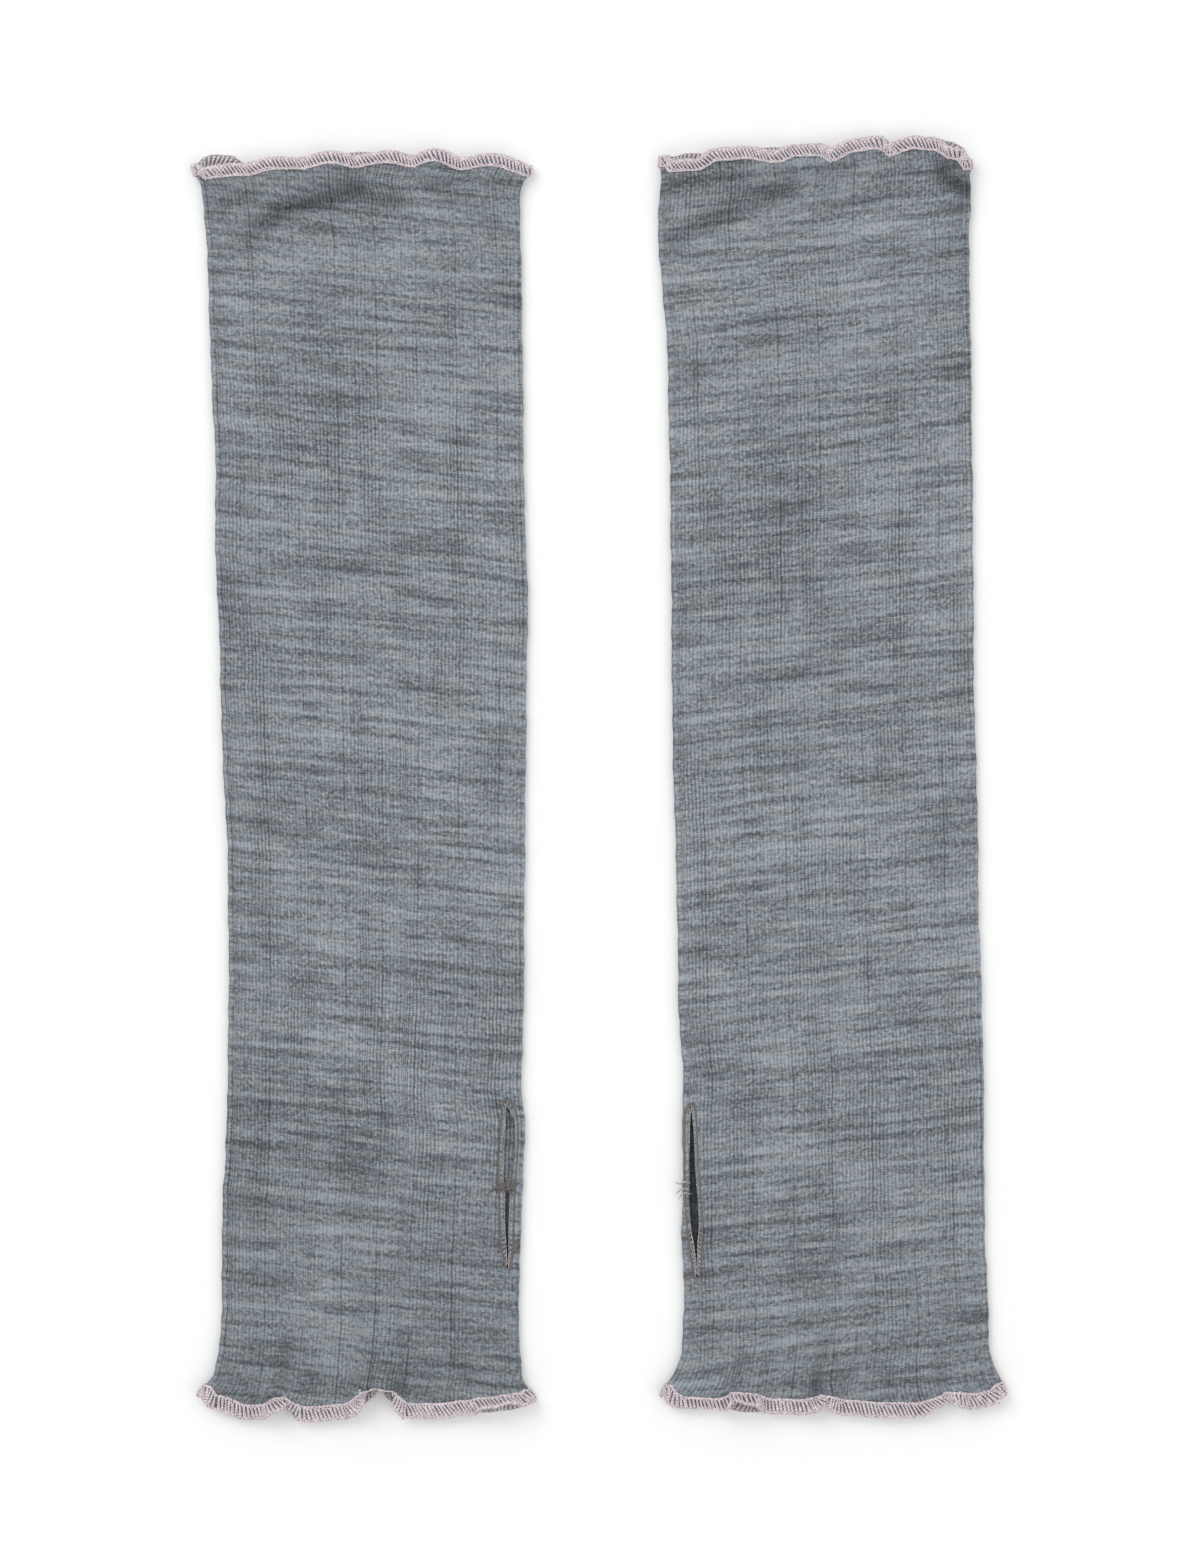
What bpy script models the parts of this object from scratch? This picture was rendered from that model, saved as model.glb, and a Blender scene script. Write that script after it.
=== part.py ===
"""A pair of knitted wrist warmers with frilled overlocked ends and a thumb slit, laid flat side by side.

Units are metres, +Z up. Each warmer is a seamless tube pressed flat: its length runs along Y, the hand end
with the thumb slit at -Y and the arm end at +Y. The tube is parted along its two side folds into an upper
and an under layer. Edging bands of overlock thread finish the two ends and the thumb slit.
"""

import math
from collections import namedtuple

import bpy
import numpy as np

MM = 0.001

# Cloth and thread
WALL = 1.2 * MM
LAYER_GAP = 0.4 * MM
SEAM_GAP = 0.3 * MM
ARM_BAND_WIDTH = 3.9 * MM
HAND_BAND_WIDTH = 4.8 * MM
BAND_THICKNESS = 1.7 * MM
BAND_TIP_THICKNESS = 1.0 * MM
BAND_FAN = 0.6

# Length of the knit, between the straight lines that the frilled ends are measured from
ARM_LINE = 189.0 * MM
HAND_LINE = -191.0 * MM

# How far a frill's lift reaches into the tube
FRILL_REACH = 27.0 * MM

# Grid of each layer
FOLD_STEPS = 2
NEAR_FOLD_INSETS = (4.2 * MM, 6.2 * MM, 9.6 * MM)
MIDDLE_STEPS = 22
HAND_ROWS = (0.0, 3.0 * MM, 7.0 * MM, 13.0 * MM, 22.0 * MM)
ARM_ROWS = (0.0, 3.0 * MM, 7.0 * MM, 13.0 * MM, 22.0 * MM, 34.0 * MM)
MIDDLE_ROWS = (-70.0 * MM, -20.0 * MM, 35.0 * MM, 90.0 * MM, 130.0 * MM)
UNDER_SLIT_ROWS = (-150.0 * MM, -110.0 * MM)
SLIT_COLUMNS = (0, 1)

# Edging of the thumb slit
SLIT_BAND_BASE = 1.55 * MM
SLIT_BAND_HEIGHT = 1.5 * MM
SLIT_BAND_SHOULDER = 1.2 * MM
SLIT_BAND_END = 2.0 * MM

# A cross section of the tube: its place along Y and its two side folds, in millimetres
Section = namedtuple("Section", "along left right")
# A crest or hollow of a frilled end, in millimetres and degrees: its share of the width from the left fold,
# how far the knit reaches past the straight line, how high it is lifted, and how far its band turns up
Wave = namedtuple("Wave", "across reach lift curl")
# A station of the thumb slit, in millimetres: its place along Y, then the distances in from the fold beside
# it of the knit's two cut edges and of the two free edges of the edging
Station = namedtuple("Station", "along near far gap_near gap_far")
Warmer = namedtuple("Warmer", "name sections slit_fold slit arm_upper arm_under hand_upper hand_under")

LEFT = Warmer(
    name="left",
    sections=(
        Section(190, -127.8, -21.8),
        Section(187.5, -125.9, -23.7),
        Section(184, -125.2, -24.8),
        Section(175, -124.3, -25.0),
        Section(157, -123.3, -24.6),
        Section(119, -122.1, -24.1),
        Section(56, -120.5, -22.5),
        Section(-32, -117.0, -23.5),
        Section(-70, -117.0, -23.8),
        Section(-107, -117.7, -23.4),
        Section(-133, -118.9, -24.4),
        Section(-158, -118.9, -25.2),
        Section(-172, -119.2, -25.5),
        Section(-181, -120.2, -24.8),
        Section(-188, -121.5, -24.2),
        Section(-191, -124.0, -21.9),
    ),
    slit_fold="right",
    slit=(
        Station(-101.1, 4.3, 5.5, 4.75, 5.05),
        Station(-103.6, 3.3, 6.8, 4.3, 5.7),
        Station(-107.4, 2.7, 7.5, 3.7, 5.9),
        Station(-113.7, 2.5, 7.8, 3.5, 6.0),
        Station(-120.0, 2.5, 7.9, 3.5, 5.9),
        Station(-125.4, 2.7, 7.7, 3.9, 5.7),
        Station(-131.0, 2.6, 7.0, 4.0, 5.1),
        Station(-138.9, 2.5, 6.3, 3.8, 4.7),
        Station(-146.8, 2.5, 5.6, 3.6, 4.3),
        Station(-151.5, 2.8, 4.9, 3.6, 4.1),
        Station(-154.0, 3.2, 4.4, 3.65, 3.95),
    ),
    arm_upper=(
        Wave(0.00, 1.2, 1.3, 0),
        Wave(0.04, -0.3, 3.0, 25),
        Wave(0.145, 0.6, 1.3, 10),
        Wave(0.25, 2.5, 2.6, 0),
        Wave(0.32, 2.5, 1.4, 0),
        Wave(0.41, 4.1, 3.4, 15),
        Wave(0.48, 2.9, 1.3, 0),
        Wave(0.585, 4.4, 2.8, 0),
        Wave(0.65, 3.2, 1.3, 0),
        Wave(0.72, 5.0, 3.6, 0),
        Wave(0.80, 2.4, 1.2, 0),
        Wave(0.89, 3.7, 2.8, 10),
        Wave(1.00, 0.9, 1.3, 0),
    ),
    arm_under=(
        Wave(0.00, 1.2, 0.4, 0),
        Wave(0.06, 3.8, 0.3, 0),
        Wave(0.10, 3.4, 0.3, 0),
        Wave(0.15, -0.6, 0.5, 0),
        Wave(0.30, 1.8, 0.3, 0),
        Wave(0.41, 3.2, 1.4, 0),
        Wave(0.50, 4.5, 0.3, 0),
        Wave(0.62, 2.6, 0.4, 0),
        Wave(0.72, 4.4, 1.5, 0),
        Wave(0.80, 1.6, 0.3, 0),
        Wave(0.89, 3.2, 1.0, 0),
        Wave(1.00, 0.9, 0.4, 0),
    ),
    hand_upper=(
        Wave(0.00, 0.0, 1.3, 0),
        Wave(0.05, 3.0, 1.2, 0),
        Wave(0.14, 5.8, 1.2, 0),
        Wave(0.255, 1.6, 4.8, -40),
        Wave(0.325, 6.3, 1.3, 0),
        Wave(0.44, 5.4, 1.5, 0),
        Wave(0.505, -0.8, 6.4, -112),
        Wave(0.53, -1.6, 7.0, -115),
        Wave(0.568, -0.8, 6.8, -115),
        Wave(0.607, 5.0, 1.8, -5),
        Wave(0.65, 5.3, 1.4, 0),
        Wave(0.72, 5.3, 1.3, 0),
        Wave(0.84, 3.9, 1.8, 15),
        Wave(0.93, 2.9, 3.2, 35),
        Wave(1.00, 1.3, 1.3, 0),
    ),
    hand_under=(
        Wave(0.00, 0.0, 0.4, 0),
        Wave(0.06, 2.6, 0.3, 0),
        Wave(0.15, 5.0, 0.3, 0),
        Wave(0.255, -0.4, 1.4, 0),
        Wave(0.33, 5.2, 0.3, 0),
        Wave(0.43, 4.4, 0.3, 0),
        Wave(0.49, 0.2, 1.2, 0),
        Wave(0.52, -4.4, 1.6, 0),
        Wave(0.56, -4.4, 1.6, 0),
        Wave(0.59, 0.2, 1.2, 0),
        Wave(0.63, 3.8, 0.3, 0),
        Wave(0.74, 4.4, 0.3, 0),
        Wave(0.84, 2.2, 0.3, 0),
        Wave(0.91, 2.4, 0.3, 0),
        Wave(1.00, 1.3, 0.4, 0),
    ),
)

RIGHT = Warmer(
    name="right",
    sections=(
        Section(192, 17.7, 118.2),
        Section(188, 19.5, 116.6),
        Section(184, 19.3, 117.0),
        Section(175, 18.6, 116.8),
        Section(168, 18.3, 116.3),
        Section(155, 19.5, 116.5),
        Section(132, 21.3, 117.0),
        Section(69, 22.5, 117.7),
        Section(0, 23.0, 118.9),
        Section(-70, 24.7, 120.5),
        Section(-107, 26.0, 121.1),
        Section(-145, 25.7, 121.4),
        Section(-158, 26.6, 122.1),
        Section(-181, 25.8, 122.8),
        Section(-186, 24.3, 124.4),
        Section(-191, 21.1, 126.9),
    ),
    slit_fold="left",
    slit=(
        Station(-102.1, 2.3, 3.5, 2.75, 3.05),
        Station(-104.9, 2.1, 4.4, 3.0, 3.5),
        Station(-109.0, 2.0, 4.9, 3.0, 3.9),
        Station(-115.3, 2.0, 5.0, 2.9, 4.0),
        Station(-121.6, 2.0, 5.2, 2.8, 4.2),
        Station(-127.9, 2.0, 5.7, 2.8, 4.6),
        Station(-134.2, 2.0, 6.2, 2.8, 5.0),
        Station(-142.1, 2.2, 6.4, 3.3, 5.2),
        Station(-148.4, 2.5, 6.2, 3.7, 5.0),
        Station(-153.4, 3.0, 5.6, 3.95, 4.6),
        Station(-156.9, 3.4, 4.7, 3.9, 4.2),
    ),
    arm_upper=(
        Wave(0.00, 3.6, 1.3, 0),
        Wave(0.04, 1.9, 2.2, 25),
        Wave(0.115, 2.2, 2.4, 25),
        Wave(0.19, 5.4, 1.8, 0),
        Wave(0.28, 6.0, 1.3, 0),
        Wave(0.37, 4.4, 3.4, 25),
        Wave(0.44, 6.6, 1.3, 0),
        Wave(0.52, 6.8, 1.3, 0),
        Wave(0.545, 5.0, 2.8, 0),
        Wave(0.63, 8.3, 1.3, 0),
        Wave(0.70, 9.1, 2.4, 0),
        Wave(0.735, 7.0, 1.2, 0),
        Wave(0.82, 9.1, 2.0, 0),
        Wave(0.88, 8.4, 1.3, 0),
        Wave(0.94, 5.8, 3.6, 20),
        Wave(1.00, 2.6, 2.6, 0),
    ),
    arm_under=(
        Wave(0.00, 3.6, 0.4, 0),
        Wave(0.04, 3.0, 0.3, 0),
        Wave(0.10, 4.1, 0.3, 0),
        Wave(0.16, 3.8, 0.3, 0),
        Wave(0.25, 5.0, 0.3, 0),
        Wave(0.37, 6.0, 0.4, 0),
        Wave(0.46, 5.8, 0.3, 0),
        Wave(0.545, 4.2, 1.0, 0),
        Wave(0.66, 7.6, 0.3, 0),
        Wave(0.73, 6.4, 0.3, 0),
        Wave(0.80, 8.2, 0.3, 0),
        Wave(0.87, 9.3, 0.3, 0),
        Wave(0.93, 7.8, 0.4, 0),
        Wave(0.97, 6.0, 0.3, 0),
        Wave(1.00, 2.6, 0.3, 0),
    ),
    hand_upper=(
        Wave(0.00, -0.2, 1.3, 0),
        Wave(0.06, 2.6, 2.4, -30),
        Wave(0.17, 2.9, 2.4, -30),
        Wave(0.21, 1.9, 3.6, 40),
        Wave(0.26, 1.9, 3.6, 40),
        Wave(0.31, 3.8, 1.3, 0),
        Wave(0.41, 4.0, 1.2, 0),
        Wave(0.472, 0.9, 5.0, -60),
        Wave(0.53, 4.2, 1.2, 0),
        Wave(0.65, 5.0, 1.2, 0),
        Wave(0.74, 5.0, 1.2, 0),
        Wave(0.80, 2.4, 3.0, -40),
        Wave(0.838, 0.4, 4.4, -50),
        Wave(0.91, 2.3, 1.4, 0),
        Wave(0.96, 1.2, 1.3, 0),
        Wave(1.00, -1.0, 1.3, 0),
    ),
    hand_under=(
        Wave(0.00, -0.2, 0.4, 0),
        Wave(0.07, 1.4, 0.3, 0),
        Wave(0.17, 1.9, 0.3, 0),
        Wave(0.24, 3.7, 0.3, 0),
        Wave(0.31, 3.2, 0.3, 0),
        Wave(0.41, 3.2, 0.3, 0),
        Wave(0.472, -2.2, 1.4, 0),
        Wave(0.56, 3.0, 0.3, 0),
        Wave(0.72, 4.0, 0.3, 0),
        Wave(0.838, -2.6, 1.2, 0),
        Wave(0.91, 1.2, 0.3, 0),
        Wave(1.00, -1.0, 0.4, 0),
    ),
)


def clear_scene():
    for thing in list(bpy.data.objects):
        bpy.data.objects.remove(thing, do_unlink=True)


def finish(name, colour, roughness):
    """A Principled BSDF material of one colour."""
    material = bpy.data.materials.new(name)
    material.use_nodes = True
    shader = material.node_tree.nodes["Principled BSDF"]
    shader.inputs["Base Color"].default_value = (*colour, 1.0)
    shader.inputs["Roughness"].default_value = roughness
    shader.inputs["Metallic"].default_value = 0.0
    return material


def solid(name, points, faces, material):
    mesh = bpy.data.meshes.new(name)
    mesh.from_pydata([tuple(map(float, p)) for p in points], [], facing_out(points, faces))
    mesh.validate()
    mesh.materials.append(material)
    mesh.shade_smooth()
    made = bpy.data.objects.new(name, mesh)
    bpy.context.scene.collection.objects.link(made)
    return made


def unit(vectors):
    return vectors / np.linalg.norm(vectors, axis=-1, keepdims=True)


def even_slopes(values, places):
    """Slopes for a smooth curve through a table that never swings past the table's own values."""
    steps = np.diff(values) / np.diff(places)
    before, after = steps[:-1], steps[1:]
    total = np.where(before * after > 0, before + after, 1.0)
    inner = np.where(before * after > 0, 2 * before * after / total, 0.0)
    return np.concatenate([steps[:1], inner, steps[-1:]])


def side_fold(sections, along, side):
    """X of a side fold at a place along Y, on a smooth curve through the sections."""
    rows = sorted(sections)
    ys = np.array([row.along for row in rows]) * MM
    xs = np.array([getattr(row, side) for row in rows]) * MM
    slopes = even_slopes(xs, ys)
    y = float(np.clip(along, ys[0], ys[-1]))
    k = int(np.clip(np.searchsorted(ys, y) - 1, 0, len(ys) - 2))
    span = ys[k + 1] - ys[k]
    t = (y - ys[k]) / span
    return (
        (2 * t**3 - 3 * t**2 + 1) * xs[k]
        + (t**3 - 2 * t**2 + t) * span * slopes[k]
        + (3 * t**2 - 2 * t**3) * xs[k + 1]
        + (t**3 - t**2) * span * slopes[k + 1]
    )


def frill(waves, across, field):
    """A wave table's value at a share of the width, eased between each crest and hollow."""
    shares = [wave.across for wave in waves]
    values = [getattr(wave, field) for wave in waves]
    share = min(max(across, 0.0), 1.0)
    k = max(i for i in range(len(shares) - 1) if shares[i] <= share)
    t = (share - shares[k]) / (shares[k + 1] - shares[k])
    eased = 0.5 - 0.5 * math.cos(math.pi * t)
    return values[k] + (values[k + 1] - values[k]) * eased


def row_shares(warmer, layer):
    """Places of a layer's rows, as shares of the way from the hand line to the arm line."""
    length = ARM_LINE - HAND_LINE
    shares = [d / length for d in HAND_ROWS]
    shares += [1 - d / length for d in ARM_ROWS]
    shares += [(y - HAND_LINE) / length for y in MIDDLE_ROWS]
    if layer == "upper":
        shares += [slit_share(warmer, station) for station in warmer.slit]
    else:
        shares += [(y - HAND_LINE) / length for y in UNDER_SLIT_ROWS]
    return sorted(shares)


def slit_across(warmer, station):
    """Share of the width at which a station of the thumb slit lies."""
    y = station.along * MM
    left, right = (side_fold(warmer.sections, y, side) for side in ("left", "right"))
    inset = 0.5 * (station.near + station.far) * MM / (right - left)
    return inset if warmer.slit_fold == "left" else 1 - inset


def slit_share(warmer, station):
    """The row on which a station of the thumb slit lies, once the frills have shifted the rows."""
    across = slit_across(warmer, station)
    hand = HAND_LINE - frill(warmer.hand_upper, across, "reach") * MM
    arm = ARM_LINE + frill(warmer.arm_upper, across, "reach") * MM
    return (station.along * MM - hand) / (arm - hand)


def layer_height(warmer, layer, across, from_hand, from_arm):
    """Height of the middle of a layer's wall above the ground."""
    ends = (
        (getattr(warmer, f"hand_{layer}"), from_hand),
        (getattr(warmer, f"arm_{layer}"), from_arm),
    )
    height = WALL / 2 if layer == "under" else 1.5 * WALL + LAYER_GAP
    for waves, distance in ends:
        fade = max(0.0, 1 - distance / FRILL_REACH) ** 2
        height += frill(waves, across, "lift") * MM * fade
    return height


def layer_row(warmer, layer, share):
    """Middle of a layer's wall along one row, from the left fold to the right one."""
    nominal = HAND_LINE + share * (ARM_LINE - HAND_LINE)
    left, right = (side_fold(warmer.sections, nominal, side) for side in ("left", "right"))
    from_hand = share * (ARM_LINE - HAND_LINE)
    from_arm = (1 - share) * (ARM_LINE - HAND_LINE)

    def point(x, across, height):
        hand = HAND_LINE - frill(getattr(warmer, f"hand_{layer}"), across, "reach") * MM
        arm = ARM_LINE + frill(getattr(warmer, f"arm_{layer}"), across, "reach") * MM
        return (x, hand + share * (arm - hand), height)

    def fold_points(edge, inward, across):
        top = layer_height(warmer, "upper", across, from_hand, from_arm)
        bottom = layer_height(warmer, "under", across, from_hand, from_arm)
        middle, radius = (top + bottom) / 2, (top - bottom) / 2
        upward = 1 if layer == "upper" else -1
        points = []
        for step in range(FOLD_STEPS + 1):
            angle = math.pi / 2 * step / FOLD_STEPS
            x = edge + inward * (WALL / 2 + radius * (1 - math.cos(angle)))
            rise = radius * math.sin(angle) + (SEAM_GAP / 2 if step == 0 else 0)
            points.append(point(x, across, middle + upward * rise))
        return points

    near = [left + inset for inset in NEAR_FOLD_INSETS]
    far = [right - inset for inset in reversed(NEAR_FOLD_INSETS)]
    inner = [near[-1] + (far[0] - near[-1]) * k / MIDDLE_STEPS for k in range(1, MIDDLE_STEPS)]
    flat = []
    for x in near + inner + far:
        across = (x - left) / (right - left)
        flat.append(point(x, across, layer_height(warmer, layer, across, from_hand, from_arm)))
    return fold_points(left, 1, 0.0) + flat + fold_points(right, -1, 1.0)[::-1]


def layer_grid(warmer, layer):
    """Middle of a layer's wall as a grid of points, rows along Y and columns across."""
    return np.array([layer_row(warmer, layer, share) for share in row_shares(warmer, layer)])


def slit_columns(warmer, columns):
    """The two grid columns that the thumb slit parts: the one by the fold, then the one further in."""
    first = FOLD_STEPS + 1
    if warmer.slit_fold == "left":
        return [first + k for k in SLIT_COLUMNS]
    return [columns - 1 - first - k for k in SLIT_COLUMNS]


def slit_sign(warmer):
    return 1 if warmer.slit_fold == "left" else -1


def part_slit(warmer, grid):
    """Moves the two columns beside the thumb slit onto its cut edges, and gives the cells cut out."""
    near, far = slit_columns(warmer, grid.shape[1])
    shares = row_shares(warmer, "upper")
    cut = set()
    for station in warmer.slit:
        row = shares.index(slit_share(warmer, station))
        fold = side_fold(warmer.sections, station.along * MM, warmer.slit_fold)
        for column, inset in ((near, station.near), (far, station.far)):
            grid[row, column, 0] = fold + slit_sign(warmer) * inset * MM
            grid[row, column, 1] = station.along * MM
        cut.add(row)
    last = max(cut)
    return {(row, min(near, far)) for row in cut if row != last}


def grid_normals(grid, layer):
    """Unit normals of a layer, away from the inside of the tube, level at the two side folds."""
    across = np.gradient(grid, axis=1)
    along = unit(np.gradient(grid, axis=0))
    upward = 1 if layer == "upper" else -1
    normals = upward * unit(np.cross(across, along))
    for step in range(FOLD_STEPS + 1):
        angle = math.pi / 2 * step / FOLD_STEPS
        for column, outward in ((step, -1), (-1 - step, 1)):
            turned = np.array([outward * math.cos(angle), 0.0, upward * math.sin(angle)])
            run = along[:, column]
            normals[:, column] = unit(turned - (run @ turned)[:, None] * run)
    return normals


def wall(grid, normals, missing):
    """Points and faces of a wall of even thickness on a grid, with a rim around each open edge."""
    rows, columns = grid.shape[:2]
    outer = (grid + normals * WALL / 2).reshape(-1, 3)
    inner = (grid - normals * WALL / 2).reshape(-1, 3)
    shift = rows * columns
    cells = [
        (r * columns + c, r * columns + c + 1, (r + 1) * columns + c + 1, (r + 1) * columns + c)
        for r in range(rows - 1)
        for c in range(columns - 1)
        if (r, c) not in missing
    ]
    edges = {(a, b) for cell in cells for a, b in zip(cell, cell[1:] + cell[:1])}
    faces = list(cells)
    faces += [tuple(shift + k for k in reversed(cell)) for cell in cells]
    faces += [(b, a, shift + a, shift + b) for a, b in edges if (b, a) not in edges]
    return np.concatenate([outer, inner]), faces


def facing_out(points, faces):
    """The faces of a closed shell, turned round if they face into it."""
    volume = 0.0
    for face in faces:
        for second, third in zip(face[1:], face[2:]):
            volume += np.dot(points[face[0]], np.cross(points[second], points[third]))
    return faces if volume > 0 else [tuple(reversed(face)) for face in faces]


def tube_sides(count, size, closed):
    """Faces that join a row of cross sections of the same size, and the last to the first if it is closed."""
    faces = []
    for k in range(count if closed else count - 1):
        here, following = k * size, (k + 1) % count * size
        for s in range(size):
            turn = (s + 1) % size
            faces.append((here + s, following + s, following + turn, here + turn))
    return faces


def band_ring(width, half_root, half_middle, half_tip):
    """Cross section of an edging band: distance out from the cut edge, and height over its middle."""
    return (
        (0.0, half_root),
        (0.5 * width, half_middle),
        (width, half_tip),
        (width, -half_tip),
        (0.5 * width, -half_middle),
        (0.0, -half_root),
    )


def end_band(warmer, layer, end, grid, normals):
    """Points and faces of the thread band that finishes one end of one layer."""
    row, inner_row = (0, 1) if end == "hand" else (-1, -2)
    width = HAND_BAND_WIDTH if end == "hand" else ARM_BAND_WIDTH
    waves = getattr(warmer, f"{end}_{layer}")
    edge, up = grid[row], normals[row]
    straight = unit(grid[row] - grid[inner_row])
    along_edge = unit(np.gradient(edge, axis=0))
    square = unit(np.cross(along_edge, up))
    square *= np.sign((square * straight).sum(axis=1, keepdims=True))
    out = unit(BAND_FAN * square + (1 - BAND_FAN) * straight)
    left, right = edge[0, 0], edge[-1, 0]
    section = band_ring(width, WALL / 2, BAND_THICKNESS / 2, BAND_TIP_THICKNESS / 2)
    points = []
    for k, root in enumerate(edge):
        curl = math.radians(frill(waves, (root[0] - left) / (right - left), "curl"))
        reach = math.cos(curl) * out[k] + math.sin(curl) * up[k]
        thick = math.cos(curl) * up[k] - math.sin(curl) * out[k]
        clear = SEAM_GAP + abs(math.sin(curl)) * WALL / 2 + max(0.0, -math.cos(curl)) * WALL
        start = root + clear * out[k]
        for distance, height in section:
            points.append(start + distance * reach + height * thick)
    points = np.array(points)
    if layer == "under":
        points[:, 2] = np.maximum(points[:, 2], 0.0)
    count, size = len(edge), len(section)
    faces = tube_sides(count, size, closed=False)
    faces.append(tuple(range(size)))
    faces.append(tuple(reversed(range((count - 1) * size, count * size))))
    return points, faces


def slit_band(warmer):
    """Points and faces of the thread band around the thumb slit."""
    stations = sorted(warmer.slit)
    sign = slit_sign(warmer)
    low, high = stations[0].along * MM, stations[-1].along * MM
    end_gap = 2 * SEAM_GAP
    middle, half = (low + high) / 2, (high - low) / 2
    outline = []
    for side, rows in (("near", stations), ("far", stations[::-1])):
        for station in rows:
            y = station.along * MM
            fold = side_fold(warmer.sections, y, warmer.slit_fold)
            outward = -1 if side == "near" else 1
            cut = fold + sign * (getattr(station, side) * MM - outward * SEAM_GAP)
            gap = fold + sign * getattr(station, f"gap_{side}") * MM
            outer_y = min(max(y, low + end_gap), high - end_gap)
            inner_y = middle + (y - middle) * (half - SLIT_BAND_END) / half
            outline.append(((cut, outer_y), (gap, inner_y)))
    points = []
    for (outer_x, outer_y), (inner_x, inner_y) in outline:
        crest_x, crest_y = (outer_x + inner_x) / 2, (outer_y + inner_y) / 2
        points += [
            (outer_x, outer_y, SLIT_BAND_BASE),
            (outer_x, outer_y, SLIT_BAND_BASE + SLIT_BAND_SHOULDER),
            (crest_x, crest_y, SLIT_BAND_BASE + SLIT_BAND_HEIGHT),
            (inner_x, inner_y, SLIT_BAND_BASE + SLIT_BAND_SHOULDER),
            (inner_x, inner_y, SLIT_BAND_BASE),
        ]
    return points, tube_sides(len(outline), len(points) // len(outline), closed=True)


def build_warmer(warmer, knit, thread, slit_thread):
    for layer in ("upper", "under"):
        grid = layer_grid(warmer, layer)
        missing = part_slit(warmer, grid) if layer == "upper" else set()
        normals = grid_normals(grid, layer)
        points, faces = wall(grid, normals, missing)
        solid(f"{warmer.name}_tube_{layer}", points, faces, knit)
        for end in ("arm", "hand"):
            points, faces = end_band(warmer, layer, end, grid, normals)
            solid(f"{warmer.name}_{end}_edging_{layer}", points, faces, thread)
    points, faces = slit_band(warmer)
    solid(f"{warmer.name}_thumb_edging", points, faces, slit_thread)


def main():
    clear_scene()
    knit = finish("grey melange knit", (0.22, 0.245, 0.27), 0.95)
    thread = finish("pale pink overlock thread", (0.62, 0.5, 0.53), 0.8)
    slit_thread = finish("taupe overlock thread", (0.2, 0.185, 0.18), 0.85)
    for warmer in (LEFT, RIGHT):
        build_warmer(warmer, knit, thread, slit_thread)


main()
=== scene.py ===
"""A pair of knitted wrist warmers laid flat on a pale floor, seen from straight above.

Units are metres, +Z up, in the frame's own place. Each warmer is one seamless knitted tube pressed flat, with
frilled ends bound in pale pink overlock thread and a thumb slit bound in taupe thread beside its inner fold.
Tables of sizes are in millimetres and degrees.
"""

import math
from collections import namedtuple
from functools import partial

import bpy
import numpy as np
from bpy.props import FloatProperty, FloatVectorProperty, IntProperty, PointerProperty
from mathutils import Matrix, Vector


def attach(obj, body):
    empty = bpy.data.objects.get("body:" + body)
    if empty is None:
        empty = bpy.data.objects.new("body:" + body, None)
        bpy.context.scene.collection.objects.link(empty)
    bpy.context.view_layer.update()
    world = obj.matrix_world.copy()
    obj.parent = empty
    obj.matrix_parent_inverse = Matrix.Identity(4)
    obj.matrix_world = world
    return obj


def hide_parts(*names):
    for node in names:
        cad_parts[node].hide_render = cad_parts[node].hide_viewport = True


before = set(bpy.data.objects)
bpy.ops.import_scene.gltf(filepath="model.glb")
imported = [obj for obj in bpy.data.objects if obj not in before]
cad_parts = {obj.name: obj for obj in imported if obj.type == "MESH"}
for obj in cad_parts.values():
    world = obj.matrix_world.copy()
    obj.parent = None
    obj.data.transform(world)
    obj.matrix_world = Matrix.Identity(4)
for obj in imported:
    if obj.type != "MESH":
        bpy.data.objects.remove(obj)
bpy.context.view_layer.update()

bl_info = {
    "name": "Wrist warmers",
    "version": (1, 0, 0),
    "blender": (4, 5, 0),
    "location": "View3D > Sidebar > Wrist warmers",
    "description": "A pair of knitted wrist warmers with overlocked frills and thumb slits",
    "category": "Object",
}

MM = 0.001
BODY = "root"

# The photograph's frame, and where its middle lies on the floor
PHOTO_WIDTH, PHOTO_HEIGHT = 1200, 1560
PIXEL = 0.315 * MM
VIEW_CENTRE = (0.16 * MM, -0.3 * MM)
SENSOR_LONG_SIDE = 36.0 * MM
MAIN_LAMP_PLACE, MAIN_LAMP_SIZE = (-0.9, 0.9, 1.5), 1.2
SECOND_LAMP_PLACE, SECOND_LAMP_SIZE = (1.1, -0.6, 1.4), 1.4

# Cloth, as the solids have it
WALL = 1.2 * MM
LAYER_GAP = 0.4 * MM
UNDER_HEIGHT = WALL / 2
UPPER_HEIGHT = 1.5 * WALL + LAYER_GAP
SEAM_GAP = 0.3 * MM
ARM_BAND_WIDTH = 3.9 * MM
HAND_BAND_WIDTH = 4.8 * MM
BAND_FAN = 0.6
ARM_LINE = 189.0 * MM
HAND_LINE = -191.0 * MM
LENGTH = ARM_LINE - HAND_LINE
FRILL_REACH = 27.0 * MM
SLIT_BAND_END = 2.0 * MM
FLAT_WIDTH = 96.0 * MM

# Grid of the knitted tube
ROW_STEP = 1.6 * MM
FOLD_STEPS = 5
NEAR_SLIT_STEPS = 3
BESIDE_SLIT_STEPS = 5
SLIT_ZONE = 12.0 * MM
MIDDLE_STEPS = 52
CORE_SHARES = (0.0, 0.25, 0.5, 0.75, 0.93)
CORE_TAPER = 0.35
LEAST_ROW_SHARE = 0.4

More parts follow.
